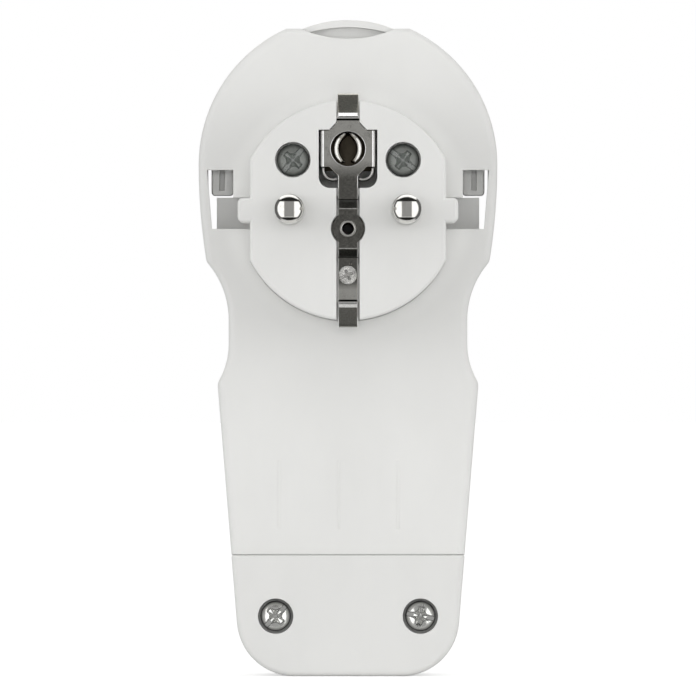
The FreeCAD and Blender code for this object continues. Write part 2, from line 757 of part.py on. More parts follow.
def make_front_cover():
    """The front of the body: raised crown, dome inside the bow of the handle, posts and ribs."""
    piece = Piece("front_cover")
    crown_shoulder = shoulder_half - s.crown_inset
    dome_start = side_of(dome_radius, s.head_height - hinge_shoulder)
    dome = [
        (crown_shoulder, hinge_shoulder),
        (dome_start, hinge_shoulder),
        (dome_radius, s.head_height, dome_radius),
        (0, s.head_height + dome_radius, dome_radius),
    ]
    crown = both_sides([*tail_corner_path(s.crown_inset), *neck_path(s.crown_inset), *dome])
    piece.grow("crown", FRONT, parting, front, [crown])
    piece.soften(
        "crown_corners", s.hip_edge,
        along_depth(
            both_ways(s.hip_half - s.crown_inset, -s.hip_drop)
            + both_ways(crown_shoulder, hinge_shoulder)
        ),
    )
    piece.soften(
        "crown_nooks", s.crown_corner, along_depth(both_ways(dome_start, hinge_shoulder))
    )
    piece.soften("crown_edge", s.crown_edge, at_depth(front))
    ring = both_sides([*tail_corner_path(0), *neck_path(0)])
    piece.grow("rim_ring", FRONT, parting, rim, [ring])
    skirt_low = -(s.window_bottom + s.part_gap * 2)
    piece.grow("skirt", FRONT, skirt, parting, [both_sides([(crown_shoulder, skirt_low), *dome])])
    inset = s.crown_inset + s.crown_wall
    inner_dome = dome_radius - s.neck_wall
    shaft = inner_dome - s.shaft_inset
    dome_low = s.head_height - side_of(inner_dome, shaft)
    cavity = both_sides(
        [
            *tail_corner_path(inset),
            *neck_path(inset),
            (shoulder_half - inset, skirt_low),
            (shaft, skirt_low),
            (shaft, dome_low),
            (inner_dome, s.head_height, inner_dome),
            (0, s.head_height + inner_dome, inner_dome),
        ]
    )
    piece.carve("cavity", FRONT, skirt, roof, [cavity])
    in_roof = roof + s.roof_thickness / 2
    housing_spots = both_ways(s.housing_screw_side, s.housing_screw_height)
    clamp_spots = both_ways(s.clamp_screw_side, -s.clamp_screw_drop)
    for name, start, insert_end, spots in (
        ("housing", foot_back, housing_insert_end, housing_spots),
        ("clamp", parting, clamp_insert_end, clamp_spots),
    ):
        piece.grow(
            f"{name}_posts", FRONT, start, in_roof,
            [Circle(x, z, s.post_radius) for x, z in spots],
        )
        piece.carve(
            f"{name}_insert_bores", FRONT, start, insert_end,
            [Circle(x, z, s.insert_radius + s.thread_clearance) for x, z in spots],
        )
        piece.carve(
            f"{name}_screw_bores", FRONT, insert_end, insert_end + s.screw_spare + s.part_gap,
            [Circle(x, z, s.shank_radius + s.shank_clearance) for x, z in spots],
        )
    clamp_ribs(piece, parting, in_roof)
    cable_bores(piece)
    for name, start, end in (
        ("right_bearing", inner_dome - s.hinge_gap, dome_radius + s.hinge_gap),
        ("left_bearing", -(dome_radius + s.hinge_gap), -(inner_dome - s.hinge_gap)),
    ):
        hole = Circle(pivot_depth, s.pivot_height, s.trunnion_radius + s.bearing_clearance)
        piece.carve(name, SIDE, start, end, [hole])
    return piece.body


def clamp_ribs(piece, start, end):
    """Two ribs that grip the cable, one above and one below the clamp screws."""
    half_rib = s.clamp_rib_thickness / 2
    for name, drop in (
        ("upper_rib", s.clamp_screw_drop - s.clamp_rib_inset),
        ("lower_rib", s.clamp_screw_drop + s.clamp_rib_inset),
    ):
        half = s.clamp_screw_side
        rib = box_path(-half, half, -(drop + half_rib), -(drop - half_rib))
        piece.grow(name, FRONT, start, end, [rib])


def cable_bores(piece):
    """The cable's way through the ribs and the wider inlet through the end wall."""
    inner_end = -(s.tail_end - s.neck_wall)
    past_end = -(s.tail_end + s.part_gap)
    above_ribs = -(s.clamp_screw_drop - s.clamp_rib_inset - s.clamp_rib_thickness)
    inlet_end = inner_end + s.part_gap
    piece.carve("rib_bore", TOP, inner_end, above_ribs, [Circle(0, parting, s.clamp_rib_radius)])
    piece.carve("cable_inlet", TOP, past_end, inlet_end, [Circle(0, parting, s.cable_radius)])


def make_clamp_cover():
    """The cover over the cable clamp, proud of the shell, with wells for its two screws."""
    piece = Piece("clamp_cover")
    top = s.cover_line + s.cover_gap
    past_top = s.cover_line - s.part_gap
    outline = both_sides([*tail_corner_path(0), (tail_half_at(top), -top)])
    piece.grow("lid", FRONT, cover_face, parting, [outline])
    piece.soften("face_edge", s.cover_edge, apart_from(-top, at_depth(cover_face)))
    piece.soften("brow", s.cover_brow, along_width([(cover_face, -top)]))
    floor = cover_face + s.flange_thickness
    inside = (tail_half_at(past_top, s.neck_wall), -past_top)
    piece.carve(
        "cavity", FRONT, floor, parting,
        [both_sides([*tail_corner_path(s.neck_wall), inside])],
    )
    spots = both_ways(s.clamp_screw_side, -s.clamp_screw_drop)
    in_floor = cover_face + s.flange_thickness / 2
    piece.grow("posts", FRONT, in_floor, parting, [Circle(x, z, s.post_radius) for x, z in spots])
    clamp_ribs(piece, in_floor, parting)
    cable_bores(piece)
    piece.carve(
        "screw_holes", FRONT, cover_face, parting,
        [Circle(x, z, s.shank_radius + s.shank_clearance) for x, z in spots],
    )
    piece.carve(
        "screw_wells", FRONT, cover_face, cover_face + s.clamp_seat,
        [Circle(x, z, s.screw_well) for x, z in spots],
    )
    return piece.body


def bow_path(inner, outer, low):
    """A half ring about the head's centre with straight ends that reach down to a height."""
    top = s.head_height
    return [
        (inner, low),
        (outer, low),
        (outer, top),
        (0, top + outer, outer),
        (-outer, top, outer),
        (-outer, low),
        (-inner, low),
        (-inner, top),
        (0, top + inner, -inner),
        (inner, top, -inner),
    ]


def make_pull_handle():
    """The bow that folds out of the front, with hinge studs and a finger tab with a lip."""
    piece = Piece("pull_handle")
    bow = bow_path(bow_inner, bow_outer, s.pivot_height)
    piece.grow("bow", FRONT, handle_back, handle_front, [bow])
    lip_end = shell_inside + s.lip_gap
    tab_low = s.head_height + bow_inner + s.lip_thickness
    tab_side = tab_top - s.tab_radius + side_of(s.tab_radius, s.tab_half)
    tab = both_sides([(s.tab_half, tab_low), (s.tab_half, tab_side)], top_arc=s.tab_radius)
    piece.grow("tab", FRONT, lip_end, handle_front, [tab])
    catch = Circle(0, tab_top - s.lip_thickness - s.lip_radius, s.lip_radius)
    piece.carve("catch", FRONT, lip_end, lip_end + s.lip_height, [catch])
    piece.soften("front_edge", s.handle_edge, at_depth(handle_front))
    for name, start, end in (
        ("right_knuckle", bow_inner, bow_outer),
        ("left_knuckle", -bow_outer, -bow_inner),
    ):
        piece.grow(name, SIDE, start, end, [Circle(pivot_depth, s.pivot_height, knuckle_radius)])
    for name, start, end in (
        ("right_trunnion", bow_inner - s.trunnion_length, bow_inner),
        ("left_trunnion", -bow_inner, -(bow_inner - s.trunnion_length)),
    ):
        stud = Circle(pivot_depth, s.pivot_height, s.trunnion_radius)
        piece.grow(name, SIDE, start, end, [stud])
    low = s.pivot_height - knuckle_radius
    corner = s.knuckle_corner
    for name, x, nose in (
        ("right_outer_corner", bow_outer, corner),
        ("right_inner_corner", bow_inner, -corner),
        ("left_outer_corner", -bow_outer, -corner),
        ("left_inner_corner", -bow_inner, corner),
    ):
        nook = [(x, low), (x, low + corner), (x - nose, low, -nose)]
        piece.carve(name, FRONT, handle_back, handle_front, [nook])
    lug_front = handle_back - s.lug_depth
    lug_top = s.pivot_height + s.lug_rise
    lug_outer = bow_outer - s.lug_inset
    lug = [
        (bow_inner + corner, low, corner),
        (lug_outer - corner, low),
        (lug_outer, low + corner, corner),
        (lug_outer, lug_top),
        (bow_inner, lug_top),
        (bow_inner, low + corner),
    ]
    piece.grow("right_lug", FRONT, lug_front, pivot_depth, [lug])
    piece.grow("left_lug", FRONT, lug_front, pivot_depth, [mirrored(lug)])
    middle = (bow_inner + bow_outer) / 2
    channel_end = low + s.channel_margin
    channel = bow_path(middle - s.channel_width / 2, middle + s.channel_width / 2, channel_end)
    piece.carve("channel", FRONT, handle_back, handle_back + s.channel_depth, [channel])
    stripe = box_path(
        middle - s.channel_width / 2, middle + s.channel_width / 2, channel_end, lug_top
    )
    piece.carve(
        "lug_channels", FRONT, lug_front, lug_front + s.channel_depth, [stripe, mirrored(stripe)]
    )
    return piece.body


def make_pin(label, sign):
    """A round-ended pin, thicker inside the block, with a square terminal head behind it."""
    piece = Piece(label)
    radius = s.pin_diameter / 2
    shank = radius + s.pin_shoulder
    piece.spin(
        "shaft",
        [
            (0, -s.pin_reach),
            (radius, radius - s.pin_reach, radius),
            (radius, 0),
            (shank, 0),
            (shank, foot_back + s.terminal_length / 2),
            (0, foot_back + s.terminal_length / 2),
        ],
    )
    half = s.terminal_size / 2
    head_end = foot_back + s.terminal_length
    wire = foot_back + s.wire_depth
    piece.grow("head", FRONT, foot_back, head_end, [box_path(-half, half, -half, half)])
    piece.carve("wire_hole", TOP, -half, half, [Circle(0, wire, s.wire_hole)])
    screw_hole = Circle(0, 0, s.terminal_screw_radius + s.thread_clearance)
    piece.carve("screw_hole", FRONT, wire, head_end, [screw_hole])
    piece.place(x=sign * s.pin_spacing / 2)
    return piece.body


def slot_across(piece, name, start, end, half_x, half_z):
    """A straight slot in a screw's end."""
    piece.carve(name, FRONT, start, end, [box_path(-half_x, half_x, -half_z, half_z)])


def make_terminal_screw(label, seat):
    """A grub screw that stands in the wire hole and has a slot at its outer end."""
    piece = Piece(label)
    start = seat + s.wire_depth + s.wire_hole / 2
    end = start + s.terminal_screw_length
    radius = s.terminal_screw_radius
    piece.spin("shaft", [(0, start), (radius, start), (radius, end), (0, end)])
    slot_across(piece, "slot", end - s.recess_depth, end, radius + s.part_gap, s.recess_half)
    return piece


def make_terminal_screws():
    """The two screws in the pins' terminal heads."""
    screw = make_terminal_screw("terminal_screw", foot_back)
    screw.place(x=s.pin_spacing / 2)
    return mirrored_pair("terminal_screws", screw.body)


def make_earth_terminal():
    """The square block on the earth link, with a wire hole and two threaded holes."""
    piece = Piece("earth_terminal")
    half = s.terminal_size / 2
    centre = -s.earth_terminal_drop
    end = link_back + s.terminal_length
    wire = link_back + s.wire_depth
    piece.grow("block", FRONT, link_back, end, [box_path(-half, half, centre - half, centre + half)])
    piece.carve("wire_hole", TOP, centre - half, centre + half, [Circle(0, wire, s.wire_hole)])
    screw_hole = Circle(0, centre, s.terminal_screw_radius + s.thread_clearance)
    piece.carve("screw_hole", FRONT, wire, end, [screw_hole])
    earth_hole = Circle(0, -s.earth_screw_drop, s.earth_screw_shank + s.thread_clearance)
    piece.carve("earth_hole", FRONT, link_back, wire, [earth_hole])
    return piece.body


def make_earth_terminal_screw():
    piece = make_terminal_screw("earth_terminal_screw", link_back)
    piece.place(z=-s.earth_terminal_drop)
    return piece.body


def make_earth_link():
    """The brass strip between the eyelet and the earth terminal."""
    piece = Piece("earth_link")
    low = -(s.earth_terminal_drop + s.terminal_size / 2)
    high = -(s.pad_drop - s.pad_radius)
    piece.grow(
        "strip", FRONT, foot_back, link_back, [box_path(-s.link_half, s.link_half, low, high)]
    )
    piece.carve(
        "holes", FRONT, foot_back, link_back,
        [
            Circle(0, -s.pad_drop, s.eyelet_radius + s.thread_clearance),
            Circle(0, -s.earth_screw_drop, s.earth_screw_shank + s.thread_clearance),
        ],
    )
    return piece.body


def make_earth_clip():
    """The bent strap: springs at both ends, a plate over the pocket and a stepped middle and pad."""
    piece = Piece("earth_clip")
    bend = s.block_radius - s.spring_start
    foot = s.block_radius + s.spring_spread
    knee = strap_front + s.spring_ramp
    slope = (foot - bend) / s.spring_ramp
    lift = s.strap_thickness * root(1 + slope * slope)
    inner_bend = bend + slope * s.strap_thickness - lift
    inner_foot = foot - s.strap_thickness
    inner_knee = strap_back + (inner_foot - inner_bend) / slope
    run = s.step_run
    slant = root(run * run + s.strap_step * s.strap_step)
    shift = s.strap_thickness * (slant - run) / s.strap_step
    step_front = strap_front + s.strap_step
    step_back = strap_back + s.strap_step
    front_side = [
        (s.spring_depth, -foot),
        (knee, -foot),
        (strap_front, -bend),
        (strap_front, -s.step_bottom),
        (step_front, run - s.step_bottom),
        (step_front, s.step_top - run),
        (strap_front, s.step_top),
        (strap_front, bend),
        (knee, foot),
        (s.spring_depth, foot),
    ]
    back_side = [
        (s.spring_depth, inner_foot),
        (inner_knee, inner_foot),
        (strap_back, inner_bend),
        (strap_back, s.step_top + shift),
        (step_back, s.step_top - run + shift),
        (step_back, run - s.step_bottom - shift),
        (strap_back, -s.step_bottom - shift),
        (strap_back, -inner_bend),
        (inner_knee, -inner_foot),
        (s.spring_depth, -inner_foot),
    ]
    section = list(reversed(front_side + back_side))
    piece.grow("strap", SIDE, -s.strap_half, s.strap_half, [section])
    piece.soften("outer_bends", s.bend_radius, along_width(both_heights(strap_front, bend)))
    piece.soften(
        "inner_bends", s.bend_radius - s.strap_thickness + s.thread_clearance,
        along_width(both_heights(strap_back, inner_bend)),
    )
    piece.soften("outer_knees", s.spring_knee, along_width(both_heights(knee, foot)))
    piece.soften(
        "inner_knees", s.spring_knee - s.strap_thickness,
        along_width(both_heights(inner_knee, inner_foot)),
    )
    half = s.plate_half
    low = s.earth_height - s.plate_rise
    high = s.earth_height + s.plate_rise
    plate = both_sides(
        [
            (s.strap_half, low - s.taper_rise),
            (s.taper_half, low),
            (half, low),
            (half, high),
            (s.taper_half, high),
            (s.strap_half, high + s.taper_rise),
        ]
    )
    piece.grow("plate", FRONT, strap_front, strap_back, [plate])
    fold = s.fold_thickness
    for name, inner, outer in (
        ("right_fold", half - fold, half),
        ("left_fold", -half, fold - half),
    ):
        side = box_path(inner, outer, low, high)
        piece.grow(name, FRONT, strap_front, strap_front + s.fold_depth, [side])
    piece.grow("pad", FRONT, step_front, step_back, [Circle(0, -s.pad_drop, s.pad_radius)])
    piece.carve("earth_hole", FRONT, strap_front, strap_back, [Circle(0, s.earth_height, s.plate_hole)])
    eyelet_hole = Circle(0, -s.pad_drop, s.eyelet_radius + s.thread_clearance)
    piece.carve("eyelet_hole", FRONT, step_front, step_back, [eyelet_hole])
    screw_hole = Circle(0, -s.earth_screw_drop, s.earth_screw_shank + s.thread_clearance)
    piece.carve("screw_hole", FRONT, strap_front, strap_back, [screw_hole])
    return piece.body


def both_heights(y, z):
    """A point of the YZ plane and its mirror image below the pins' line."""
    return [(y, z), (y, -z)]


def make_earth_receptacle():
    """The sleeve of two springs that takes an earth pin, on a base plate with curled side walls."""
    piece = Piece("earth_receptacle")
    inner = s.pin_diameter / 2 + s.sleeve_clearance
    outer = inner + s.sleeve_thickness
    base_front = s.pocket_depth - s.receptacle_base
    centre = s.earth_height
    wall = s.cage_half - s.sleeve_thickness
    wall_top = centre + s.cage_top
    wall_low = centre - s.cage_bend
    piece.grow(
        "base", FRONT, base_front, s.pocket_depth,
        [box_path(-s.cage_half, s.cage_half, wall_low, wall_top)],
    )
    piece.grow(
        "sleeve", FRONT, strap_front, base_front,
        [Circle(0, centre, outer), Circle(0, centre, inner)],
    )
    slit = box_path(-s.sleeve_slit, s.sleeve_slit, centre - s.plate_hole, centre + s.plate_hole)
    piece.carve("slits", FRONT, strap_front, base_front, [slit])
    curl_inner = s.cage_curl - s.sleeve_thickness
    curl_x = s.cage_half - s.cage_curl
    curled_wall = [
        (s.cage_half, wall_low, s.cage_curl),
        (s.cage_half, wall_top),
        (wall, wall_top),
        (wall, wall_low),
        (curl_x, wall_low - curl_inner, -curl_inner),
        (curl_x, wall_low - s.cage_curl),
    ]
    cage_front = strap_front + s.fold_depth + s.strap_gap
    piece.grow("right_wall", FRONT, cage_front, base_front, [curled_wall])
    piece.grow("left_wall", FRONT, cage_front, base_front, [mirrored(curled_wall)])
    return piece.body


def make_eyelet():
    """The hollow rivet through the pad, the block and the earth link."""
    piece = Piece("eyelet")
    pad_front = strap_front + s.strap_step
    roll = s.eyelet_roll
    piece.spin(
        "tube",
        [
            (s.eyelet_bore, pad_front - roll),
            (s.eyelet_rim, pad_front - roll),
            (s.eyelet_rim, pad_front),
            (s.eyelet_radius, pad_front),
            (s.eyelet_radius, link_back),
            (s.eyelet_rim, link_back),
            (s.eyelet_rim, link_back + roll),
            (s.eyelet_bore, link_back + roll),
        ],
    )
    piece.place(z=-s.pad_drop)
    return piece.body


def make_screw(label, seat, end, head, rise, side, shank):
    """A screw along Y with a domed head."""
    piece = Piece(label)
    top = seat - rise
    dome = tangent_radius(rise - side, head)
    piece.spin(
        "blank",
        [
            (0, top),
            (head, seat - side, dome),
            (head, seat),
            (shank, seat),
            (shank, end),
            (0, end),
        ],
    )
    return piece


def cross_recess(piece, top, reach, half, depth):
    """A cross with a longer slot, as in heads that take both kinds of driver."""
    slot_across(piece, "slot", top, top + depth, reach + half, half)
    slot_across(piece, "cross", top, top + depth, half, reach)


def make_body_screws(label, seat, end, head, side_x, height):
    """A pair of equal screws, one on each side."""
    screw = make_screw(label[:-1], seat, end, head, s.head_rise, s.head_side, s.shank_radius)
    cross_recess(screw, seat - s.head_rise, s.recess_reach, s.recess_half, s.recess_depth)
    screw.place(x=side_x, z=height)
    return mirrored_pair(label, screw.body)


def make_earth_screw():
    """The small screw that joins the clip to the earth terminal."""
    seat = strap_front
    piece = make_screw(
        "earth_screw", seat, link_back + s.earth_screw_grip, s.earth_screw_head,
        s.earth_screw_height, s.earth_screw_height / 2, s.earth_screw_shank,
    )
    cross_recess(
        piece, seat - s.earth_screw_height, s.small_recess_reach, s.small_recess_half,
        s.small_recess_depth,
    )
    piece.place(z=-s.earth_screw_drop)
    return piece.body


def make_inserts(label, start, end, side_x, height):
    """A pair of brass inserts in the front cover's posts."""
    piece = Piece(label[:-1])
    bore = s.shank_radius + s.thread_clearance
    piece.spin(
        "ring", [(bore, start), (s.insert_radius, start), (s.insert_radius, end), (bore, end)]
    )
    piece.place(x=side_x, z=height)
    return mirrored_pair(label, piece.body)


pieces = [
    make_rear_shell(),
    make_contact_block(),
    make_front_cover(),
    make_clamp_cover(),
    make_pull_handle(),
    make_pin("live_pin", 1),
    make_pin("neutral_pin", -1),
    make_terminal_screws(),
    make_earth_clip(),
    make_earth_receptacle(),
    make_eyelet(),
    make_earth_screw(),
    make_earth_link(),
    make_earth_terminal(),
    make_earth_terminal_screw(),
    make_body_screws(
        "housing_screws", s.housing_seat, housing_insert_end + s.screw_spare,
        s.housing_head, s.housing_screw_side, s.housing_screw_height,
    ),
    make_body_screws(
        "clamp_screws", cover_face + s.clamp_seat, clamp_insert_end + s.screw_spare,
        s.clamp_head, s.clamp_screw_side, -s.clamp_screw_drop,
    ),
    make_inserts(
        "housing_inserts", foot_back, housing_insert_end,
        s.housing_screw_side, s.housing_screw_height,
    ),
    make_inserts(
        "clamp_inserts", parting, clamp_insert_end, s.clamp_screw_side, -s.clamp_screw_drop,
    ),
]

document.recompute()
for item in document.Objects:
    if {"Invalid", "Error"} & set(item.State):
        raise ValueError(f"{item.Name} failed: {item.State}")
for item in pieces:
    check(item)

os.makedirs("parts", exist_ok=True)
for item in pieces:
    item.Shape.exportStep(f"parts/{item.Label}.step")
    print(item.Label, len(item.Shape.Solids), round(item.Shape.Volume, 1))
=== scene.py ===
import math
from collections import namedtuple

import bmesh
import bpy
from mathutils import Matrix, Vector


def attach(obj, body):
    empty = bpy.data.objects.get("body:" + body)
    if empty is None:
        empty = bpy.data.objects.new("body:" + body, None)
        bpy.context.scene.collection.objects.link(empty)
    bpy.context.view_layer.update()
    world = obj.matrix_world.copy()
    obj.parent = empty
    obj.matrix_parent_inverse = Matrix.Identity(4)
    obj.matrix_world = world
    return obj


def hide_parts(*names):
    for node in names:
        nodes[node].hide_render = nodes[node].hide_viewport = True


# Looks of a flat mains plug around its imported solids.
# Shapes are built in millimetres and scaled to metres when they are added to the scene.
# The camera looks along +Y at the pins, with the plug standing on its cable end.

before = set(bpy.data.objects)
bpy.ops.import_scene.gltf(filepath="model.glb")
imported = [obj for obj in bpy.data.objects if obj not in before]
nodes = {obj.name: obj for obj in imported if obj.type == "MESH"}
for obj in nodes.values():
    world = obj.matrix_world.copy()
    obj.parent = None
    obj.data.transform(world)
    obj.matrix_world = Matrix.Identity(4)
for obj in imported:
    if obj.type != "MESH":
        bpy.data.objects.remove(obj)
scene = bpy.context.scene
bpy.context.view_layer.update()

MM = 0.001

# The camera, in metres: how far it stands before the block's face, and how high
CAMERA_DISTANCE = 1.769
CAMERA_HEIGHT = -0.0225

# Heights and depths that follow the solids, in millimetres
STRAP_FRONT = 0.5
SHEET = 0.8
STEP = 1.2
FOOT_HEIGHT = 19.1
SPRING_END = 13.0
EARTH_HEIGHT = 10.0
PAD_HEIGHT = -3.0
SMALL_SCREW_HEIGHT = -10.6
PIN_ASIDE = 9.5
HOUSING_SCREW_SPOT = (9.0, 8.2)
CLAMP_SCREW_SPOT = (11.9, -66.6)
SHELL_FACE = 17.0
FLOOR_HEIGHT = -76.5


# Meshes

def circle(x, y, radius, steps=96):
    """Points of a circle in a plane."""
    turns = [2 * math.pi * step / steps for step in range(steps)]
    return [(x + radius * math.cos(turn), y + radius * math.sin(turn)) for turn in turns]


def arc(x, y, radius, start, end, steps):
    """Points of an arc in a plane, with its angles in degrees."""
    turns = [math.radians(start + (end - start) * step / steps) for step in range(steps + 1)]
    return [(x + radius * math.cos(turn), y + radius * math.sin(turn)) for turn in turns]


def rounded(points, closed=True, steps=6):
    """A polygon or path whose corners (a, b, radius) are replaced by arcs."""
    result = []
    count = len(points)
    for place, (a, b, *radius) in enumerate(points):
        corner = Vector((a, b))
        if not radius or (not closed and place in (0, count - 1)):
            result.append((a, b))
            continue
        before = (Vector(points[place - 1][:2]) - corner).normalized()
        after = (Vector(points[(place + 1) % count][:2]) - corner).normalized()
        half = before.angle(after) / 2
        centre = corner + (before + after).normalized() * (radius[0] / math.sin(half))
        start = corner + before * (radius[0] / math.tan(half)) - centre
        end = corner + after * (radius[0] / math.tan(half)) - centre
        first = math.atan2(start.y, start.x)
        turn = math.atan2(start.x * end.y - start.y * end.x, start.dot(end))
        for step in range(steps + 1):
            angle = first + turn * step / steps
            result.append(
                (centre.x + radius[0] * math.cos(angle), centre.y + radius[0] * math.sin(angle))
            )
    return result


def inset(points, distance):
    """A closed outline, drawn to the left, moved inwards."""
    result = []
    count = len(points)
    for place in range(count):
        here = Vector(points[place])
        arriving = (here - Vector(points[place - 1])).normalized()
        leaving = (Vector(points[(place + 1) % count]) - here).normalized()
        one = Vector((-arriving.y, arriving.x))
        two = Vector((-leaving.y, leaving.x))
        mitre = (one + two).normalized()
        result.append(tuple(here + mitre * (distance / max(mitre.dot(one), 0.3))))
    return result


def both_sides(right):
    """A closed outline, drawn to the left, from its right half, drawn upwards."""
    left = [(-x, *rest) for x, *rest in reversed(right)]
    return right + left


def rounded_box(left, low, right, high, corner):
    """A rectangle with rounded corners, drawn to the left."""
    return rounded(
        [(left, low, corner), (right, low, corner), (right, high, corner), (left, high, corner)]
    )


def drawn_left(points):
    """A closed outline drawn to the left, whichever way it was drawn before."""
    area = sum(
        one[0] * two[1] - two[0] * one[1] for one, two in zip(points, points[1:] + points[:1])
    )
    return points if area > 0 else points[::-1]


def blank(outline, holes, thickness, edge):
    """A flat plate with rounded edges: its outline in X and Y, its thickness along Z."""
    curve = bpy.data.curves.new("blank", "CURVE")
    curve.dimensions = "2D"
    curve.fill_mode = "BOTH"
    curve.extrude = thickness / 2 - edge
    curve.bevel_depth = edge
    curve.bevel_resolution = 2
    for points in (inset(outline, edge), *holes):
        spline = curve.splines.new("POLY")
        spline.points.add(len(points) - 1)
        for point, (x, y) in zip(spline.points, points):
            point.co = (x, y, 0, 1)
        spline.use_cyclic_u = True
    carrier = bpy.data.objects.new("blank", curve)
    scene.collection.objects.link(carrier)
    mesh = applied(carrier)
    bm = bmesh.new()
    bm.from_mesh(mesh)
    bpy.data.objects.remove(carrier)
    bmesh.ops.remove_doubles(bm, verts=bm.verts, dist=1e-4)
    return bm


def applied(carrier):
    """The mesh of an object with its modifiers applied."""
    graph = bpy.context.evaluated_depsgraph_get()
    return bpy.data.meshes.new_from_object(carrier.evaluated_get(graph), depsgraph=graph)


def plate(outline, holes, front, back, edge):
    """A plate that faces the camera: its outline in X and Z, its depth from front to back."""
    bm = blank(outline, holes, back - front, edge)
    middle = (front + back) / 2
    for vert in bm.verts:
        x, z, rise = vert.co
        vert.co = (x, middle - rise, z)
    return bm


def join_rings(bm, one, two):
    """Faces between two rings of vertices, either of which may be a single point."""
    count = max(len(one), len(two))
    for step in range(count):
        following = (step + 1) % count
        if len(one) == 1:
            bm.faces.new((one[0], two[step], two[following]))
        elif len(two) == 1:
            bm.faces.new((one[step], two[0], one[following]))
        else:
            bm.faces.new((one[step], two[step], two[following], one[following]))


def lathe(profile, x=0.0, z=0.0, closed=False, steps=96):
    """A profile of radius and depth, turned about an axis along Y."""
    bm = bmesh.new()
    rings = []
    for radius, depth in profile:
        spots = circle(x, z, radius, steps) if radius > 1e-6 else [(x, z)]
        rings.append([bm.verts.new((px, depth, pz)) for px, pz in spots])
    for one, two in zip(rings, rings[1:]):
        join_rings(bm, one, two)
    if closed:
        join_rings(bm, rings[-1], rings[0])
    return bm


def loft(sections):
    """A skin over sections in X and Z, each with its depth, closed at both ends."""
    bm = bmesh.new()
    rings = [[bm.verts.new((x, depth, z)) for x, z in points] for depth, points in sections]
    for one, two in zip(rings, rings[1:]):
        join_rings(bm, one, two)
    bm.faces.new(rings[0])
    bm.faces.new(reversed(rings[-1]))
    return bm


def merge(*parts):
    """Several meshes as one."""
    whole = bmesh.new()
    for part in parts:
        mesh = bpy.data.meshes.new("part")
        part.to_mesh(mesh)
        part.free()
        whole.from_mesh(mesh)
        bpy.data.meshes.remove(mesh)
    return whole


def as_object(bm, name):
    """The mesh as an object of the scene."""
    mesh = bpy.data.meshes.new(name)
    bmesh.ops.recalc_face_normals(bm, faces=bm.faces)
    bm.to_mesh(mesh)
    bm.free()
    thing = bpy.data.objects.new(name, mesh)
    scene.collection.objects.link(thing)
    return thing


def cut(body, cutters, edge):
    """The body less its cutters, with its sharp edges rounded."""
    carrier = as_object(body, "body")
    tools = [as_object(cutter, "cutter") for cutter in cutters]
    for tool in tools:
        modifier = carrier.modifiers.new("cut", "BOOLEAN")
        modifier.operation = "DIFFERENCE"
        modifier.solver = "EXACT"
        modifier.object = tool
    bevel = carrier.modifiers.new("edges", "BEVEL")
    bevel.width = edge
    bevel.segments = 2
    bevel.limit_method = "ANGLE"
    bevel.angle_limit = math.radians(32)
    bm = bmesh.new()
    bm.from_mesh(applied(carrier))
    for thing in (carrier, *tools):
        bpy.data.objects.remove(thing)
    if not bm.faces:
        raise ValueError("nothing is left of a body after its cuts")
    return bm


def add_piece(name, bm, material, body="housing", sharp=38):
    """A finished piece, smooth but for its sharp edges, that rides on a body."""
    bmesh.ops.recalc_face_normals(bm, faces=bm.faces)
    bmesh.ops.scale(bm, vec=(MM, MM, MM), verts=bm.verts)
    for face in bm.faces:
        face.smooth = True
    for edge in bm.edges:
        edge.smooth = edge.calc_face_angle(0.0) < math.radians(sharp)
    mesh = bpy.data.meshes.new(name)
    bm.to_mesh(mesh)
    bm.free()
    mesh.materials.append(material)
    piece = bpy.data.objects.new(name, mesh)
    scene.collection.objects.link(piece)
    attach(piece, body)
    return piece


# Materials

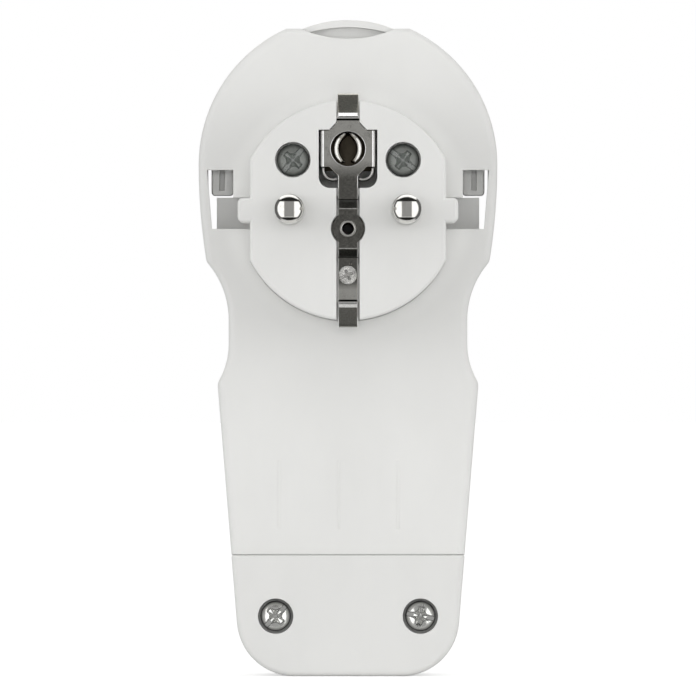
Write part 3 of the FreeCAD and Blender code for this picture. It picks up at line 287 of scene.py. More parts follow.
class Nodes:
    """Short calls for building a node tree."""

    def __init__(self, owner):
        owner.use_nodes = True
        self.tree = owner.node_tree
        self.tree.nodes.clear()

    def add(self, kind, inputs=None, **settings):
        node = self.tree.nodes.new("ShaderNode" + kind)
        for name, value in settings.items():
            setattr(node, name, value)
        for name, value in (inputs or {}).items():
            socket = node.inputs[name]
            if isinstance(value, bpy.types.NodeSocket):
                self.tree.links.new(value, socket)
            else:
                socket.default_value = value
        return node

    def math(self, operation, one, two=0.0):
        return self.add("Math", {0: one, 1: two}, operation=operation).outputs[0]

    def product(self, first, *others):
        for other in others:
            first = self.math("MULTIPLY", first, other)
        return first

    def between(self, value, low, high, start=0.0, end=1.0, smooth=False):
        """The value carried from one range to another, and held at its ends."""
        kind = "SMOOTHSTEP" if smooth else "LINEAR"
        node = self.add(
            "MapRange",
            {"Value": value, "From Min": low, "From Max": high, "To Min": start, "To Max": end},
            interpolation_type=kind,
        )
        return node.outputs["Result"]

    def strip(self, value, start, full, fade, end, smooth=False):
        """One between the two inner of four rising marks, and nothing beyond the outer two."""
        rise = self.between(value, start, full, smooth=smooth)
        return self.product(rise, self.between(value, end, fade, smooth=smooth))

    def distance(self, one, two, centre_one, centre_two):
        """Distance in a plane from a point."""
        aside = self.math("SUBTRACT", one, centre_one)
        above = self.math("SUBTRACT", two, centre_two)
        squares = self.math("ADD", self.product(aside, aside), self.product(above, above))
        return self.math("SQRT", squares)

    def mix(self, share, one, two):
        """A blend of two colours."""
        node = self.add("Mix", data_type="RGBA")
        for place, value in ((0, share), (6, one), (7, two)):
            if isinstance(value, bpy.types.NodeSocket):
                self.tree.links.new(value, node.inputs[place])
            else:
                node.inputs[place].default_value = value
        return node.outputs[2]

    def noise(self, coords, scale, detail=3.0, roughness=0.5):
        node = self.add(
            "TexNoise",
            {"Vector": coords, "Scale": scale, "Detail": detail, "Roughness": roughness},
        )
        return node.outputs["Fac"]

    def stretched(self, coords, scales):
        node = self.add("Mapping", {"Vector": coords, "Scale": scales})
        return node.outputs["Vector"]

    def millimetres(self, coords):
        """The three parts of a place in metres, in millimetres."""
        node = self.add("SeparateXYZ", {"Vector": self.stretched(coords, (1 / MM,) * 3)})
        return node.outputs

    def rounding(self, radius):
        """The normal of softened edges, and how well it agrees with the surface's own."""
        soft = self.add("Bevel", {"Radius": radius}, samples=6).outputs[0]
        own = self.add("NewGeometry").outputs["Normal"]
        node = self.add("VectorMath", {0: soft, 1: own}, operation="DOT_PRODUCT")
        return soft, node.outputs["Value"]

    def surface(self, base, rough, normal, **more):
        inputs = {"Base Color": base, "Roughness": rough, "Normal": normal, **more}
        shader = self.add("BsdfPrincipled", inputs)
        self.add("OutputMaterial", {"Surface": shader.outputs[0]})


def rgb(*colour):
    return (*colour, 1.0)


def plastic(name, colour, edge_radius=0.00016, shade_at=None, shade=0.90):
    """Matt moulded plastic: faint flow marks, a fine grain and softened, polished edges with a
    painted highlight.

    Where shade_at gives a share, the colour is multiplied by shade: painted shade below one,
    painted light above one.
    """
    material = bpy.data.materials.new(name)
    n = Nodes(material)
    place = n.add("TexCoord").outputs["Object"]
    soft_normal, agreement = n.rounding(edge_radius)
    # Softened edges are smoother, and lighter as a painted highlight
    edge_polish_and_highlight = n.between(agreement, 0.995, 0.82)
    flow = n.noise(n.stretched(place, (1.0, 1.0, 0.45)), 75.0, 4.0, 0.55)
    cloud = n.noise(place, 420.0, 4.0, 0.6)
    grain = n.noise(place, 7000.0, 2.0, 0.6)
    dark = rgb(*(value * 0.975 for value in colour))
    light = rgb(*(min(value * 1.012, 1.0) for value in colour))
    bright = rgb(*(min(value * 1.10, 0.92) for value in colour))
    base = n.mix(n.between(flow, 0.35, 0.65), dark, light)
    base = n.mix(n.product(edge_polish_and_highlight, 0.75), base, bright)
    if shade_at:
        shaded = rgb(*(min(value * shade, 0.95) for value in colour))
        base = n.mix(shade_at(n, *n.millimetres(place)), base, shaded)
    rough = n.between(n.math("ADD", cloud, n.product(grain, 0.4)), 0.45, 0.95, 0.44, 0.6)
    rough = n.math("SUBTRACT", rough, n.product(edge_polish_and_highlight, 0.08))
    relief = n.math("ADD", n.product(cloud, 0.5), grain)
    bump = n.add(
        "Bump", {"Strength": 0.35, "Distance": 0.00001, "Height": relief, "Normal": soft_normal}
    )
    n.surface(base, rough, bump.outputs[0], IOR=1.46)
    return material


def metal(
    name, colour, stain, roughness, spots=0.5, brushed=(1.0, 1.0, 1.0), relief=0.3, tints=(),
    outline=0.0, depth=0.00001,
):
    """Plated metal: cloudy plating with darker spots, uneven polish and fine scratches.

    Each tint gives the share of another colour at a place, the roughness that it adds and
    how strongly its colour varies.
    An outline darkens the metal within that distance of an edge, as painted shade.
    """
    material = bpy.data.materials.new(name)
    n = Nodes(material)
    place = n.add("TexCoord").outputs["Object"]
    cloud = n.noise(place, 700.0, 5.0, 0.62)
    speck = n.noise(place, 3800.0, 3.0, 0.65)
    scratch = n.noise(n.stretched(place, brushed), 5200.0, 2.0, 0.7)
    patches = n.product(n.between(cloud, 0.45, 0.72), n.between(speck, 0.38, 0.62), spots)
    base = n.mix(patches, rgb(*colour), rgb(*stain))
    rough = n.between(n.math("ADD", cloud, n.product(scratch, 0.6)), 0.5, 1.1, *roughness)
    spot = n.millimetres(place)
    for share_at, tint, rougher, contrast in tints:
        share = share_at(n, *spot)
        one, two = ([min(value * (1 + k), 0.98) for value in tint] for k in (contrast, -contrast))
        shaded = n.mix(n.between(speck, 0.3, 0.7), rgb(*one), rgb(*two))
        base = n.mix(share, base, shaded)
        rough = n.math("ADD", rough, n.product(share, rougher))
    if outline:
        # Painted shade along the edges, a little rougher there
        _, agreement = n.rounding(outline)
        painted_edge_shade = n.between(agreement, 0.99, 0.94)
        base = n.mix(n.product(painted_edge_shade, 0.9), base, rgb(0.035, 0.04, 0.04))
        rough = n.math("ADD", rough, n.product(painted_edge_shade, 0.1))
    bump = n.add(
        "Bump", {"Strength": relief, "Distance": depth, "Height": n.math("ADD", scratch, speck)}
    )
    n.surface(base, rough, bump.outputs[0], Metallic=1.0)
    return material


# Each of these says how far a place, in millimetres, belongs to a part of a surface.

def behind_depth(start, end):
    """What lies behind a depth, fading in from its start."""
    return lambda n, x, y, z: n.between(y, start, end)


def beyond_radius(centre, start, end):
    """What lies beyond a radius from the axes of a pair of screws."""
    return lambda n, x, y, z: n.between(
        n.distance(n.math("ABSOLUTE", x), z, *centre), start, end
    )


def beside_pad(start, full, fade, end):
    """Two strips across the strap, one above the pad and one as far below it."""
    return lambda n, x, y, z: n.strip(
        n.math("ABSOLUTE", n.math("SUBTRACT", z, PAD_HEIGHT)), start, full, fade, end
    )


def on_strap(n, x, y, z):
    """The narrow strap and the pad, but not the plate."""
    return n.strip(z, -13.0, -11.6, 5.2, 8.0)


def on_strap_edges(n, x, y, z):
    """The rounded edges of the strap, lightened as a painted highlight."""
    pad = n.between(n.distance(x, z, 0.0, PAD_HEIGHT), 2.66, 2.70)
    side = n.between(n.math("ABSOLUTE", x), 1.47, 1.52)
    return n.product(pad, side, n.between(z, 5.9, 5.6))


def on_hole_edge(n, x, y, z):
    """The rounded edge of the plate's hole, lightened as a painted highlight."""
    return n.between(n.distance(x, z, 0.0, EARTH_HEIGHT), 2.98, 2.93)


def on_folds(n, x, y, z):
    """The bent sides of the plate."""
    return n.product(n.between(n.math("ABSOLUTE", x), 3.8, 3.98), n.between(y, 1.4, 0.9))


def on_springs(n, x, y, z):
    """The sloping ends of the clip."""
    return n.between(n.math("ABSOLUTE", z), 15.85, 15.95)


def on_lower_spring(n, x, y, z):
    """The sloping lower end of the clip, darker than the upper as painted shade."""
    return n.between(z, -15.85, -15.95)


def on_bends(n, x, y, z):
    """The bends between the flat clip and its sloping ends, lightened as a painted highlight."""
    return n.strip(n.math("ABSOLUTE", z), 14.94, 15.05, 15.85, 15.95)


def in_creases(n, x, y, z):
    """The creases beside the bends, darkened as painted shade."""
    return n.strip(n.math("ABSOLUTE", z), 14.6, 14.66, 14.87, 14.93)


def in_clamp_holes(n, x, y, z):
    """What lies deep in the clamp cover's two screw holes, darkened there as painted shade."""
    radius = n.distance(n.math("ABSOLUTE", x), z, *CLAMP_SCREW_SPOT)
    return n.product(n.between(radius, 3.0, 2.93), n.between(y, 15.5, 15.8))


def on_lugs(n, x, y, z):
    """The front of the handle's two lugs, lightened there as painted light."""
    low = n.product(n.between(z, 7.6, 7.4), n.between(y, 24.0, 23.7))
    return n.product(low, n.between(n.math("ABSOLUTE", x), 18.5, 18.8))


def around_block(n, x, y, z):
    """The head around the round block, which less light reaches."""
    height = n.strip(z, -40.0, -6.0, 8.0, 30.0, smooth=True)
    return n.product(height, n.between(n.distance(x, z, 0.0, 0.0), 18.6, 21.5, smooth=True))


plastics = {
    "rear_shell": plastic("white_shell", (0.79, 0.79, 0.775), shade_at=around_block),
    "contact_block": plastic("white_block", (0.76, 0.76, 0.745)),
    "front_cover": plastic("white_cover", (0.80, 0.80, 0.785)),
    # The clamp cover's screw holes are darker inside as painted shade
    "clamp_cover": plastic(
        "white_clamp", (0.765, 0.765, 0.75), shade_at=in_clamp_holes, shade=0.58
    ),
    # The handle's lugs are lightened as painted light
    "pull_handle": plastic("white_handle", (0.79, 0.79, 0.775), shade_at=on_lugs, shade=1.2),
}
nickel = metal(
    "nickel", (0.80, 0.79, 0.76), (0.45, 0.42, 0.37), (0.07, 0.15), 0.35, (1.0, 0.15, 1.0), 0.08
)
dull_nickel = metal(
    "dull_nickel", (0.72, 0.71, 0.675), (0.2, 0.19, 0.16), (0.14, 0.26), 0.5, (1.0, 1.0, 0.2), 0.4,
    [
        (on_strap, (0.20, 0.195, 0.18), 0.02, 0.5),
        (on_springs, (0.64, 0.63, 0.57), 0.14, 0.18),
        # Painted shade on the lower spring
        (on_lower_spring, (0.26, 0.255, 0.235), 0.0, 0.18),
        # Painted highlight on the folds
        (on_folds, (0.97, 0.96, 0.95), -0.06, 0.05),
        # Painted highlight on the bends
        (on_bends, (0.95, 0.94, 0.92), 0.0, 0.15),
        # Painted shade in the creases
        (in_creases, (0.02, 0.02, 0.018), 0.3, 0.2),
        # The slopes that carry the pad further back, darkened as painted shade, and the lines
        # where they begin and end: painted shade at the outer end, a painted highlight at the
        # inner end
        (beside_pad(3.3, 3.45, 4.62, 4.72), (0.11, 0.11, 0.10), 0.1, 0.4),
        # Painted highlight on the strap's edges
        (on_strap_edges, (0.97, 0.96, 0.94), 0.0, 0.15),
        (beside_pad(4.60, 4.66, 4.76, 4.82), (0.015, 0.015, 0.013), 0.2, 0.2),
        (beside_pad(3.14, 3.2, 3.3, 3.36), (0.80, 0.79, 0.76), 0.0, 0.2),
        # Painted highlight round the hole
        (on_hole_edge, (0.97, 0.96, 0.94), 0.0, 0.15),
    ],
)
# The springs are darker deeper in the bore, as painted shade
spring_nickel = metal(
    "spring_nickel", (0.84, 0.83, 0.80), (0.4, 0.38, 0.34), (0.12, 0.22), 0.3, (1.0, 0.2, 1.0),
    0.12, [(behind_depth(1.0, 1.3), (0.24, 0.21, 0.17), 0.2, 0.2)],
)
# The eyelet is darker deeper in its bore, as painted shade
rim_nickel = metal(
    "rim_nickel", (0.78, 0.77, 0.74), (0.4, 0.38, 0.34), (0.12, 0.22), 0.3, (1.0, 0.2, 1.0),
    0.12, [(behind_depth(1.75, 2.2), (0.11, 0.10, 0.08), 0.2, 0.2)],
)
# The cage is darker further back, as painted shade
lug_nickel = metal(
    "lug_nickel", (0.97, 0.96, 0.94), (0.5, 0.48, 0.44), (0.16, 0.3), 0.2, (1.0, 0.2, 1.0),
    0.12, [(behind_depth(2.0, 4.0), (0.2, 0.19, 0.16), 0.2, 0.2)],
)
# The receptacle's base is coloured dark as painted shade for the deep bore
bronze_with_painted_shade = metal("bronze_with_painted_shade", (0.30, 0.26, 0.20), (0.2, 0.17, 0.13), (0.3, 0.42), 0.5)
# The housing screws' heads are darker at their rims and along their edges, as painted shade
dull_zinc = metal(
    "dull_zinc", (0.66, 0.685, 0.67), (0.4, 0.42, 0.41), (0.24, 0.36), 0.5,
    tints=[(beyond_radius(HOUSING_SCREW_SPOT, 1.9, 2.6), (0.2, 0.21, 0.205), 0.0, 0.2)],
    outline=0.00017,
)
# The clamp screws' heads are darker at their rims and along their edges, as painted shade
bright_zinc = metal(
    "bright_zinc", (0.90, 0.90, 0.88), (0.5, 0.5, 0.48), (0.1, 0.2), 0.3,
    tints=[(beyond_radius(CLAMP_SCREW_SPOT, 2.2, 2.4), (0.2, 0.2, 0.195), 0.1, 0.2)],
    outline=0.0002,
)
# The small screw is darker along its edges, as painted shade
worn_zinc = metal(
    "worn_zinc", (0.92, 0.91, 0.89), (0.25, 0.24, 0.22), (0.12, 0.3), 0.8, (1.0, 1.0, 0.3), 1.0,
    outline=0.0001, depth=0.0004,
)
brass = metal(
    "brass", (0.72, 0.56, 0.30), (0.45, 0.32, 0.15), (0.2, 0.36), 0.5, (1.0, 0.2, 1.0), 0.2
)

# The solids that stay as they are
finishes = {
    **plastics,
    "live_pin": nickel,
    "neutral_pin": nickel,
    "terminal_screws": bright_zinc,
    "earth_terminal_screw": bright_zinc,
    "earth_link": brass,
    "earth_terminal": brass,
    "housing_inserts": brass,
    "clamp_inserts": brass,
}
for node, material in finishes.items():
    for slot in nodes[node].material_slots:
        slot.material = material


# Earth clip

# Depths and heights of the middle of the sheet, seen from the side
STRAP_MIDDLE = STRAP_FRONT + SHEET / 2
ramp_shift = SHEET / 2 * math.sqrt(2)
brow = (STRAP_MIDDLE, 14.99)
dip = (STRAP_FRONT + 1.31, 15.60)
knee_y = STRAP_FRONT + 3.32
foot_z = FOOT_HEIGHT - SHEET / 2
step_y = STRAP_MIDDLE + STEP
upper_step = 1.5 + ramp_shift - SHEET / 2
lower_step = -7.6 - ramp_shift + SHEET / 2
# The sheet's line from its lower to its upper end: depth, height and radius of each bend
side_path = [
    (SPRING_END, -foot_z),
    (knee_y, -foot_z, 0.6),
    (dip[0], -dip[1], 0.5),
    (brow[0], -brow[1], 0.1),
    (STRAP_MIDDLE, lower_step, 0.45),
    (step_y, lower_step + STEP, 0.45),
    (step_y, upper_step - STEP, 0.45),
    (STRAP_MIDDLE, upper_step, 0.45),
    (*brow, 0.1),
    (*dip, 0.5),
    (knee_y, foot_z, 0.6),
    (SPRING_END, foot_z),
]
clip_line = [Vector(point) for point in rounded(side_path, closed=False, steps=8)]
clip_marks = [0.0]
for one, two in zip(clip_line, clip_line[1:]):
    clip_marks.append(clip_marks[-1] + (two - one).length)


def along_clip(distance):
    """The point and the backward direction of the clip's middle surface at a distance along it."""
    last = len(clip_marks) - 2
    place = next((k for k in range(last + 1) if distance <= clip_marks[k + 1]), last)
    one, two = clip_line[place], clip_line[place + 1]
    span = clip_marks[place + 1] - clip_marks[place]
    share = (distance - clip_marks[place]) / span

    def lean(spot):
        low, high = max(spot - 1, 0), min(spot + 1, len(clip_line) - 1)
        run = (clip_line[high] - clip_line[low]).normalized()
        return Vector((run.y, -run.x))

    return one.lerp(two, share), lean(place).lerp(lean(place + 1), share).normalized()


def distance_at(height):
    """How far along the clip its flat front reaches a height."""
    for place in range(len(clip_line) - 1):
        one, two = clip_line[place], clip_line[place + 1]
        if one.y <= height <= two.y and two.y > one.y:
            share = (height - one.y) / (two.y - one.y)
            return clip_marks[place] + share * (clip_marks[place + 1] - clip_marks[place])
    raise ValueError(f"no such height on the clip: {height}")


# Half widths of the clip's parts, and the holes in it
FOLD_START = 3.63
FOLD_BEND = 0.4
FOLD_LENGTH = 1.4
STRAP_HALF = 1.62
SPRING_HALF = 1.7
NECK_HALF = 1.85
PAD_HALF = 2.68
HOLE_RADII = {EARTH_HEIGHT: 2.8, PAD_HEIGHT: 1.2, SMALL_SCREW_HEIGHT: 1.05}

# Where the front of a fold runs, half width and depth, in even steps round its bend
fold_edge = [
    (3.94, 0.0), (4.0, 0.027), (4.1, 0.071), (4.2, 0.116), (4.3, 0.16), (4.36, 0.2),
    (4.405, 0.24), (4.427, 0.32), (4.43, 0.45),
]
# Heights of the crease beside a bend, with how deep it is there
crease = [(14.60, 0.0), (14.76, 0.35), (14.92, 0.0)]


def clip_blank():
    """The unfolded clip: springs, neck, plate with folding sides, strap and pad."""
    fold_half = FOLD_START + FOLD_BEND * math.pi / 2 + FOLD_LENGTH
    pad_edge = math.degrees(math.asin(STRAP_HALF / PAD_HALF))
    pad = distance_at(PAD_HEIGHT)
    corner = 0.25
    right = [
        (STRAP_HALF, 0.0, corner),
        *arc(0, pad, PAD_HALF, pad_edge - 90, 90 - pad_edge, 24),
        (STRAP_HALF, distance_at(5.55), 0.4),
        (3.05, distance_at(7.05), 0.3),
        (fold_half, distance_at(6.95), 0.5),
        (fold_half, distance_at(13.0), 0.5),
        (3.0, distance_at(13.0), 0.15),
        (3.0, distance_at(13.2), 0.1),
        (NECK_HALF, distance_at(14.3), 0.3),
        (NECK_HALF, distance_at(15.05), 0.15),
        (SPRING_HALF, distance_at(15.2), 0.1),
        (SPRING_HALF, clip_marks[-1], corner),
    ]
    outline = rounded(both_sides(right))
    edge = 0.14
    holes = [
        circle(0, distance_at(height), radius + edge) for height, radius in HOLE_RADII.items()
    ]
    return blank(outline, holes, SHEET, edge)


def slice_at(bm, axis, value):
    """New edges where a plane crosses the mesh."""
    direction = Vector((1, 0, 0)) if axis == 0 else Vector((0, 1, 0))
    everything = bm.verts[:] + bm.edges[:] + bm.faces[:]
    bmesh.ops.bisect_plane(
        bm, geom=everything, plane_co=direction * value, plane_no=direction, dist=1e-5
    )


def crease_at(height):
    """How deep the front is creased at a height."""
    for (low, shallow), (high, deep) in zip(crease, crease[1:]):
        if low <= height <= high:
            return shallow + (deep - shallow) * (height - low) / (high - low)
    return 0.0


def make_clip():
    """The clip's sheet, folded at its sides, bent along its line and creased."""
    bm = clip_blank()
    for mark in clip_marks[1:-1]:
        slice_at(bm, 1, mark)
    for height, _ in crease:
        slice_at(bm, 1, distance_at(height))
        slice_at(bm, 1, distance_at(-height))
    for side in (-1, 1):
        for step in range(9):
            slice_at(bm, 0, side * (FOLD_START + FOLD_BEND * math.pi / 2 * step / 8))
    for vert in bm.verts:
        x, distance, rise = vert.co
        across = abs(x) - FOLD_START
        back = -rise
        if across > 0:
            side = math.copysign(1, x)
            turn = min(across / FOLD_BEND, math.pi / 2)
            past = max(across - FOLD_BEND * math.pi / 2, 0)
            x = side * (FOLD_START + (FOLD_BEND + rise) * math.sin(turn))
            back = FOLD_BEND - (FOLD_BEND + rise) * math.cos(turn) + past
            if rise > SHEET * 0.45 and past < 1e-4:
                # The front of the bend follows its own edge
                step = min(turn / (math.pi / 2) * 8, 7.999)
                low, high = fold_edge[int(step)], fold_edge[int(step) + 1]
                x = side * (low[0] + (high[0] - low[0]) * (step - int(step)))
                back = low[1] + (high[1] - low[1]) * (step - int(step)) - SHEET / 2
        point, away = along_clip(distance)
        spot = point + away * back
        if rise > 0 and abs(x) < 3:
            spot.x += crease_at(abs(spot.y))
        vert.co = (x, spot.x, spot.y)
    # A small raised dot between the pad and the small screw
    pip = lathe(
        [(0.0, STRAP_FRONT - 0.12), (0.12, STRAP_FRONT - 0.1), (0.22, STRAP_FRONT - 0.03),
         (0.27, STRAP_FRONT + 0.05), (0.0, STRAP_FRONT + 0.05)],
        0.4, -8.75, steps=24,
    )
    return merge(bm, pip)


clip = add_piece("earth_clip_sheet", make_clip(), dull_nickel)
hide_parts("earth_clip")


# Earth receptacle

CAGE_HALF = 4.2
CAGE_LOW = 6.6
CAGE_TOP = 12.7


def leaf_section(side, shift, thickness):
    """One bowed spring seen from its mouth, moved outwards by a shift."""
    centre = side * (shift - 0.78)
    bow = 2.7
    outer = arc(centre, EARTH_HEIGHT, bow + thickness / 2, -50, 62, 28)
    inner = arc(centre, EARTH_HEIGHT, bow - thickness / 2, 62, -50, 28)
    points = outer + inner
    if side < 0:
        points = [(2 * centre - x, z) for x, z in points]
    return points


def make_leaf(side):
    """One bowed spring with its funnel mouth: depths, shifts and thicknesses along it."""
    stations = [
        (0.60, 0.20, 0.06), (0.64, 0.20, 0.16), (0.95, -0.16, 0.30), (1.05, -0.22, 0.34),
        (2.2, -0.32, 0.34), (6.0, -0.42, 0.34), (10.0, -0.40, 0.34), (14.3, -0.10, 0.34),
    ]
    return loft([(depth, leaf_section(side, shift, wall)) for depth, shift, wall in stations])


def make_cage(side, top, front, back, edge):
    """A side wall of the cage, or its curled lower end."""
    wall = 0.34
    middle = CAGE_HALF - wall / 2
    centre = 2.45
    line = [(middle, top)] + arc(centre, CAGE_LOW, middle - centre, 0, -112, 18)
    outer, inner = [], []
    for place, (x, z) in enumerate(line):
        before = Vector(line[max(place - 1, 0)])
        after = Vector(line[min(place + 1, len(line) - 1)])
        run = (after - before).normalized()
        away = Vector((-run.y, run.x)) * (wall / 2)
        outer.append((x + away.x, z + away.y))
        inner.append((x - away.x, z - away.y))
    outline = [(side * x, z) for x, z in inner + outer[::-1]]
    return plate(drawn_left(outline), [], front, back, edge)


receptacle = add_piece(
    "earth_receptacle_springs", merge(make_leaf(1), make_leaf(-1)),
    spring_nickel,
)
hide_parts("earth_receptacle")
add_piece(
    "earth_receptacle_cage",
    merge(
        *[make_cage(side, CAGE_TOP, 3.3, 14.25, 0.12) for side in (-1, 1)],
        *[make_cage(side, 6.9, 0.75, 3.4, 0.16) for side in (-1, 1)],
    ),
    lug_nickel,
)
add_piece(
    "earth_receptacle_base",
    plate(rounded_box(-CAGE_HALF, CAGE_LOW, CAGE_HALF, CAGE_TOP, 0.3), [], 14.2, 15.0, 0.12),
    bronze_with_painted_shade,
)


# Eyelet and screws

PAD_FRONT = STRAP_FRONT + STEP
eyelet_profile = [
    (0.92, PAD_FRONT + 0.3),
    *arc(1.17, PAD_FRONT - 0.1, 0.25, -180, 0, 12),
    (1.42, PAD_FRONT - 0.01),
    (1.15, PAD_FRONT - 0.005),
    (1.15, 22.2),
    *arc(1.17, 22.3, 0.25, 0, 180, 12),
]
eyelet = add_piece(
    "earth_eyelet", lathe(eyelet_profile, 0, PAD_HEIGHT, closed=True), rim_nickel
)
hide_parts("eyelet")


# A screw in millimetres: the depths of its top, seat and end, the radii of its head, dome
# and shank, the steepest slope of its top in degrees, the half width, reach and depth of its
# cross, and the depth of its slot.
Screw = namedtuple("Screw", "top seat end head dome steepest shank half reach depth slot")
HOUSING_SCREW = Screw(
    top=2.9, seat=5.0, end=28.4, head=2.65, dome=3.9, steepest=90, shank=1.7,
    half=0.47, reach=1.62, depth=1.3, slot=0.86,
)
CLAMP_SCREW = Screw(
    top=15.24, seat=17.6, end=32.5, head=2.5, dome=2.7, steepest=26, shank=1.7,
    half=0.45, reach=1.55, depth=1.3, slot=0.86,
)
SMALL_SCREW = Screw(
    top=0.07, seat=0.5, end=23.4, head=1.52, dome=8.0, steepest=90, shank=1.0,
    half=0.22, reach=0.9, depth=0.3, slot=0.16,
)


def screw_profile(screw):
    """Half section of a screw: a domed top that turns into a cone, and a rounded rim."""
    shoulder = screw.head * 0.88
    widest = math.asin(shoulder / screw.dome)
    limit = min(widest, math.radians(screw.steepest))
    points = []
    for step in range(17):
        turn = limit * step / 16
        drop = screw.dome * (1 - math.cos(turn))
        points.append((screw.dome * math.sin(turn), screw.top + drop))
    if limit < widest:
        radius, low = points[-1]
        points.append((shoulder, low + (shoulder - radius) * math.tan(limit)))
    low = points[-1][1]
    rim_width = screw.head - shoulder
    rim_height = screw.seat - 0.35 - low
    for turn in [math.radians(angle) for angle in range(30, 91, 12)]:
        radius = screw.head - rim_width * (1 - math.sin(turn))
        points.append((radius, low + rim_height * (1 - math.cos(turn))))
    return points + [
        (screw.head, screw.seat - 0.08), (screw.head - 0.08, screw.seat),
        (screw.shank, screw.seat), (screw.shank, screw.end - 0.4),
        (screw.shank - 0.35, screw.end), (0.0, screw.end),
    ]


def turned(points, angle, x, z):
    """Points of a plane, turned by an angle in degrees and moved."""
    cos, sin = math.cos(math.radians(angle)), math.sin(math.radians(angle))
    return [(x + px * cos - pz * sin, z + px * sin + pz * cos) for px, pz in points]


def cross_outline(half, reach):
    """A cross recess with hollow corners between its arms."""
    bow = half * 1.92
    corner = half * 2.9
    quarter = [(reach, half * 0.86), (corner + half * 0.2, half)]
    quarter += arc(corner, corner, bow, 268, 182, 10)
    quarter += [(half, corner + half * 0.2), (half * 0.86, reach)]
    points = []
    for turn in range(4):
        points += turned(quarter, 90 * turn, 0, 0)
    return points


def screw_cutters(screw, x, z, angle):
    """The tapering cross and the straight slot of a head that takes both kinds of driver."""
    star = cross_outline(screw.half, screw.reach)
    foot = inset(star, screw.half * 0.3)
    tip = [(a * 0.3, b * 0.3) for a, b in foot]
    above = -0.6
    levels = [
        (above, star), (screw.depth * 0.3, star), (screw.depth * 0.52, foot), (screw.depth, tip)
    ]
    cross = loft([(screw.top + level, turned(points, angle, x, z)) for level, points in levels])
    slot_half = screw.half * 0.85
    bar = [(-3.2, -slot_half), (3.2, -slot_half), (3.2, slot_half), (-3.2, slot_half)]
    slot = loft(
        [(screw.top + level, turned(bar, angle, x, z)) for level in (above, screw.slot)]
    )
    return [cross, slot]


def make_screw(screw, x, z, angle):
    """A screw on an axis, with its recess turned by an angle in degrees."""
    body = lathe(screw_profile(screw), x, z, steps=128)
    return cut(body, screw_cutters(screw, x, z, angle), 0.045)


def make_pair(screw, spot, left_angle, right_angle):
    """Two screws as far to the left as to the right."""
    x, z = spot
    return merge(make_screw(screw, -x, z, left_angle), make_screw(screw, x, z, right_angle))


housing_pair = add_piece(
    "housing_screw_pair", make_pair(HOUSING_SCREW, HOUSING_SCREW_SPOT, 50, -38),
    dull_zinc,
)
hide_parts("housing_screws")
clamp_pair = add_piece(
    "clamp_screw_pair", make_pair(CLAMP_SCREW, CLAMP_SCREW_SPOT, 45, -11),
    bright_zinc,
)
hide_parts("clamp_screws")

small_screw = add_piece(
    "earth_joining_screw", make_screw(SMALL_SCREW, -0.03, SMALL_SCREW_HEIGHT, 24),
    worn_zinc,
)
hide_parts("earth_screw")


# Collars round the pins

def pin_collar(side):
    """A thin ring of plastic round the root of a pin."""
    profile = [
        (2.405, 0.1), (2.405, -0.02), (2.45, -0.05), (2.7, -0.04), (2.82, 0.02), (2.76, 0.1)
    ]
    return lathe(profile, side * PIN_ASIDE, 0.0)


add_piece(
    "pin_collars", merge(pin_collar(-1), pin_collar(1)),
    plastic("white_collar", (0.74, 0.74, 0.725), 0.00001),
)


# Plain length bars on the neck

def length_bar(x):
    """A low raised bar that stands upright on the neck."""
    outline = rounded_box(x - 0.22, -52.3, x + 0.22, -40.9, 0.15)
    return plate(outline, [], SHELL_FACE - 0.08, SHELL_FACE + 0.2, 0.05)


add_piece(
    "strip_length_bars",
    merge(length_bar(-11.36), length_bar(-1.55), length_bar(8.23)),
    plastics["rear_shell"],
)


# Floor, light and camera

floor_mesh = bpy.data.meshes.new("studio_floor")
floor_half = 6.0
corners = [(-1, -1), (1, -1), (1, 1), (-1, 1)]
floor_mesh.from_pydata(
    [(x * floor_half, y * floor_half, FLOOR_HEIGHT * MM) for x, y in corners], [], [(0, 1, 2, 3)]
)
floor = bpy.data.objects.new("studio_floor", floor_mesh)
scene.collection.objects.link(floor)
paper = bpy.data.materials.new("floor_paper")
n = Nodes(paper)
tooth = n.noise(n.add("TexCoord").outputs["Object"], 900.0, 4.0, 0.6)
shade = n.mix(n.between(tooth, 0.3, 0.7), rgb(0.78, 0.78, 0.78), rgb(0.80, 0.80, 0.80))
soft = n.add("BsdfDiffuse", {"Color": shade})
seen = n.add("LightPath").outputs["Is Camera Ray"]
glow = n.add("Emission", {"Strength": n.product(seen, 0.5)})
both = n.add("AddShader", {0: soft.outputs[0], 1: glow.outputs[0]})
n.add("OutputMaterial", {"Surface": both.outputs[0]})
floor_mesh.materials.append(paper)
floor.visible_glossy = False

world = bpy.data.worlds.new("studio")
scene.world = world
n = Nodes(world)
path = n.add("LightPath")
split = n.add("SeparateXYZ", {"Vector": n.add("TexCoord").outputs["Generated"]})
x, y, z = split.outputs
# Where a direction lies on a mirror ball seen from the front: across, up and from its middle
ahead = n.math("SUBTRACT", 2.0, n.product(y, 2.0))
shrink = n.math("INVERSE_SQRT", n.math("MAXIMUM", ahead, 0.0001))
across = n.product(n.math("ABSOLUTE", x), shrink)
up = n.product(z, shrink)
out = n.math("SQRT", n.math("MAXIMUM", n.product(n.math("ADD", y, 1.0), 0.5), 0.0001))
lean = n.math("DIVIDE", up, out)
bow = n.product(across, across, 0.5)
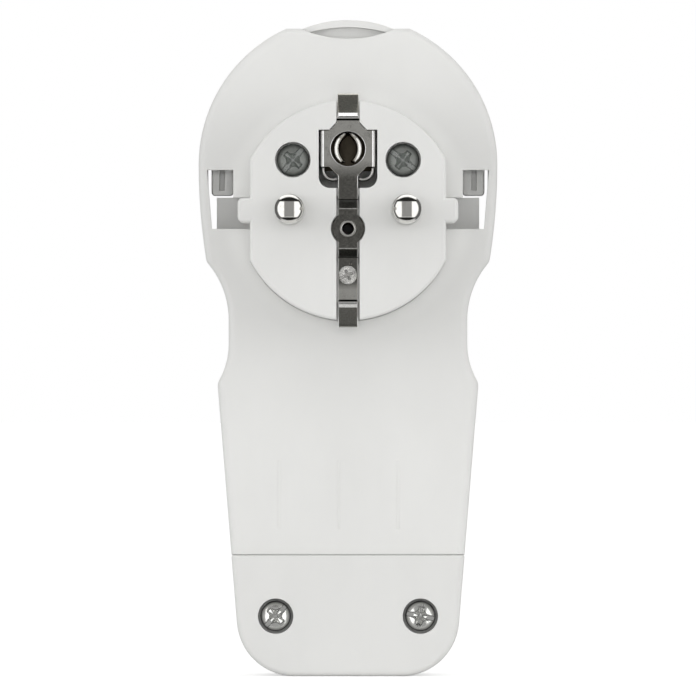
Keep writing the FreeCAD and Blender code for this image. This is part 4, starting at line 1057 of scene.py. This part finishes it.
# What metal mirrors: dim in front, dark at the sides, and a black arc above and below
rim = n.product(n.between(out, 0.76, 0.82), n.between(lean, -0.6, -0.76, smooth=True))
front = n.product(
    n.between(across, 0.37, 0.31, smooth=True),
    n.strip(up, -0.60, -0.52, 0.46, 0.54, smooth=True),
)
sides = n.product(
    n.between(out, 0.75, 0.82, smooth=True),
    n.strip(lean, -0.86, -0.70, 0.64, 0.80, smooth=True),
)
above = n.product(
    n.between(up, 0.46, 0.51, smooth=True),
    n.between(n.math("ADD", up, bow), 0.81, 0.77, smooth=True),
    n.between(across, 0.78, 0.62, smooth=True),
)
below = n.product(
    n.between(up, -0.55, -0.60, smooth=True),
    n.between(n.math("SUBTRACT", up, bow), -0.82, -0.77, smooth=True),
    n.between(across, 0.66, 0.5, smooth=True),
)
room = n.mix(rim, rgb(1.35, 1.35, 1.34), rgb(0.7, 0.7, 0.7))
room = n.mix(front, room, rgb(0.33, 0.33, 0.325))
room = n.mix(sides, room, rgb(0.14, 0.14, 0.14))
room = n.mix(n.math("MAXIMUM", above, below), room, rgb(0.02, 0.02, 0.019))
gloss = n.add("Background", {"Color": room, "Strength": 1.0})
plain = n.add("Background", {"Color": rgb(0.72, 0.72, 0.716), "Strength": 1.0})
white = n.add("Background", {"Color": rgb(1, 1, 1), "Strength": 1.0})
lit = n.add(
    "MixShader", {0: path.outputs["Is Glossy Ray"], 1: plain.outputs[0], 2: gloss.outputs[0]}
)
shown = n.math(
    "MAXIMUM", path.outputs["Is Camera Ray"], path.outputs["Is Transmission Ray"]
)
final = n.add("MixShader", {0: shown, 1: lit.outputs[0], 2: white.outputs[0]})
n.add("OutputWorld", {"Surface": final.outputs[0]})


def add_lamp(name, spot, size, power):
    """A soft rectangular lamp that faces the plug."""
    lamp = bpy.data.lights.new(name, "AREA")
    lamp.shape = "RECTANGLE"
    lamp.size, lamp.size_y = size
    lamp.energy = power
    holder = bpy.data.objects.new(name, lamp)
    scene.collection.objects.link(holder)
    holder.location = spot
    target = Vector((0.0, 0.0, -0.02))
    holder.rotation_euler = (Vector(spot) - target).to_track_quat("Z", "Y").to_euler()
    holder.visible_glossy = False
    return holder


add_lamp("front_box", (0.0, -1.6, -0.03), (0.5, 0.5), 7.4)
add_lamp("left_box", (-1.0, -0.75, 0.0), (0.8, 1.0), 4.1)
add_lamp("right_box", (1.0, -0.75, 0.0), (0.8, 1.0), 4.1)

lens = bpy.data.cameras.new("view")
lens.lens = 561.2
lens.sensor_width = 36.0
camera = bpy.data.objects.new("view", lens)
scene.collection.objects.link(camera)
camera.location = (0.0, -CAMERA_DISTANCE, CAMERA_HEIGHT)
camera.rotation_euler = (math.radians(90), 0.0, 0.0)
scene.camera = camera
scene.view_settings.view_transform = "Standard"
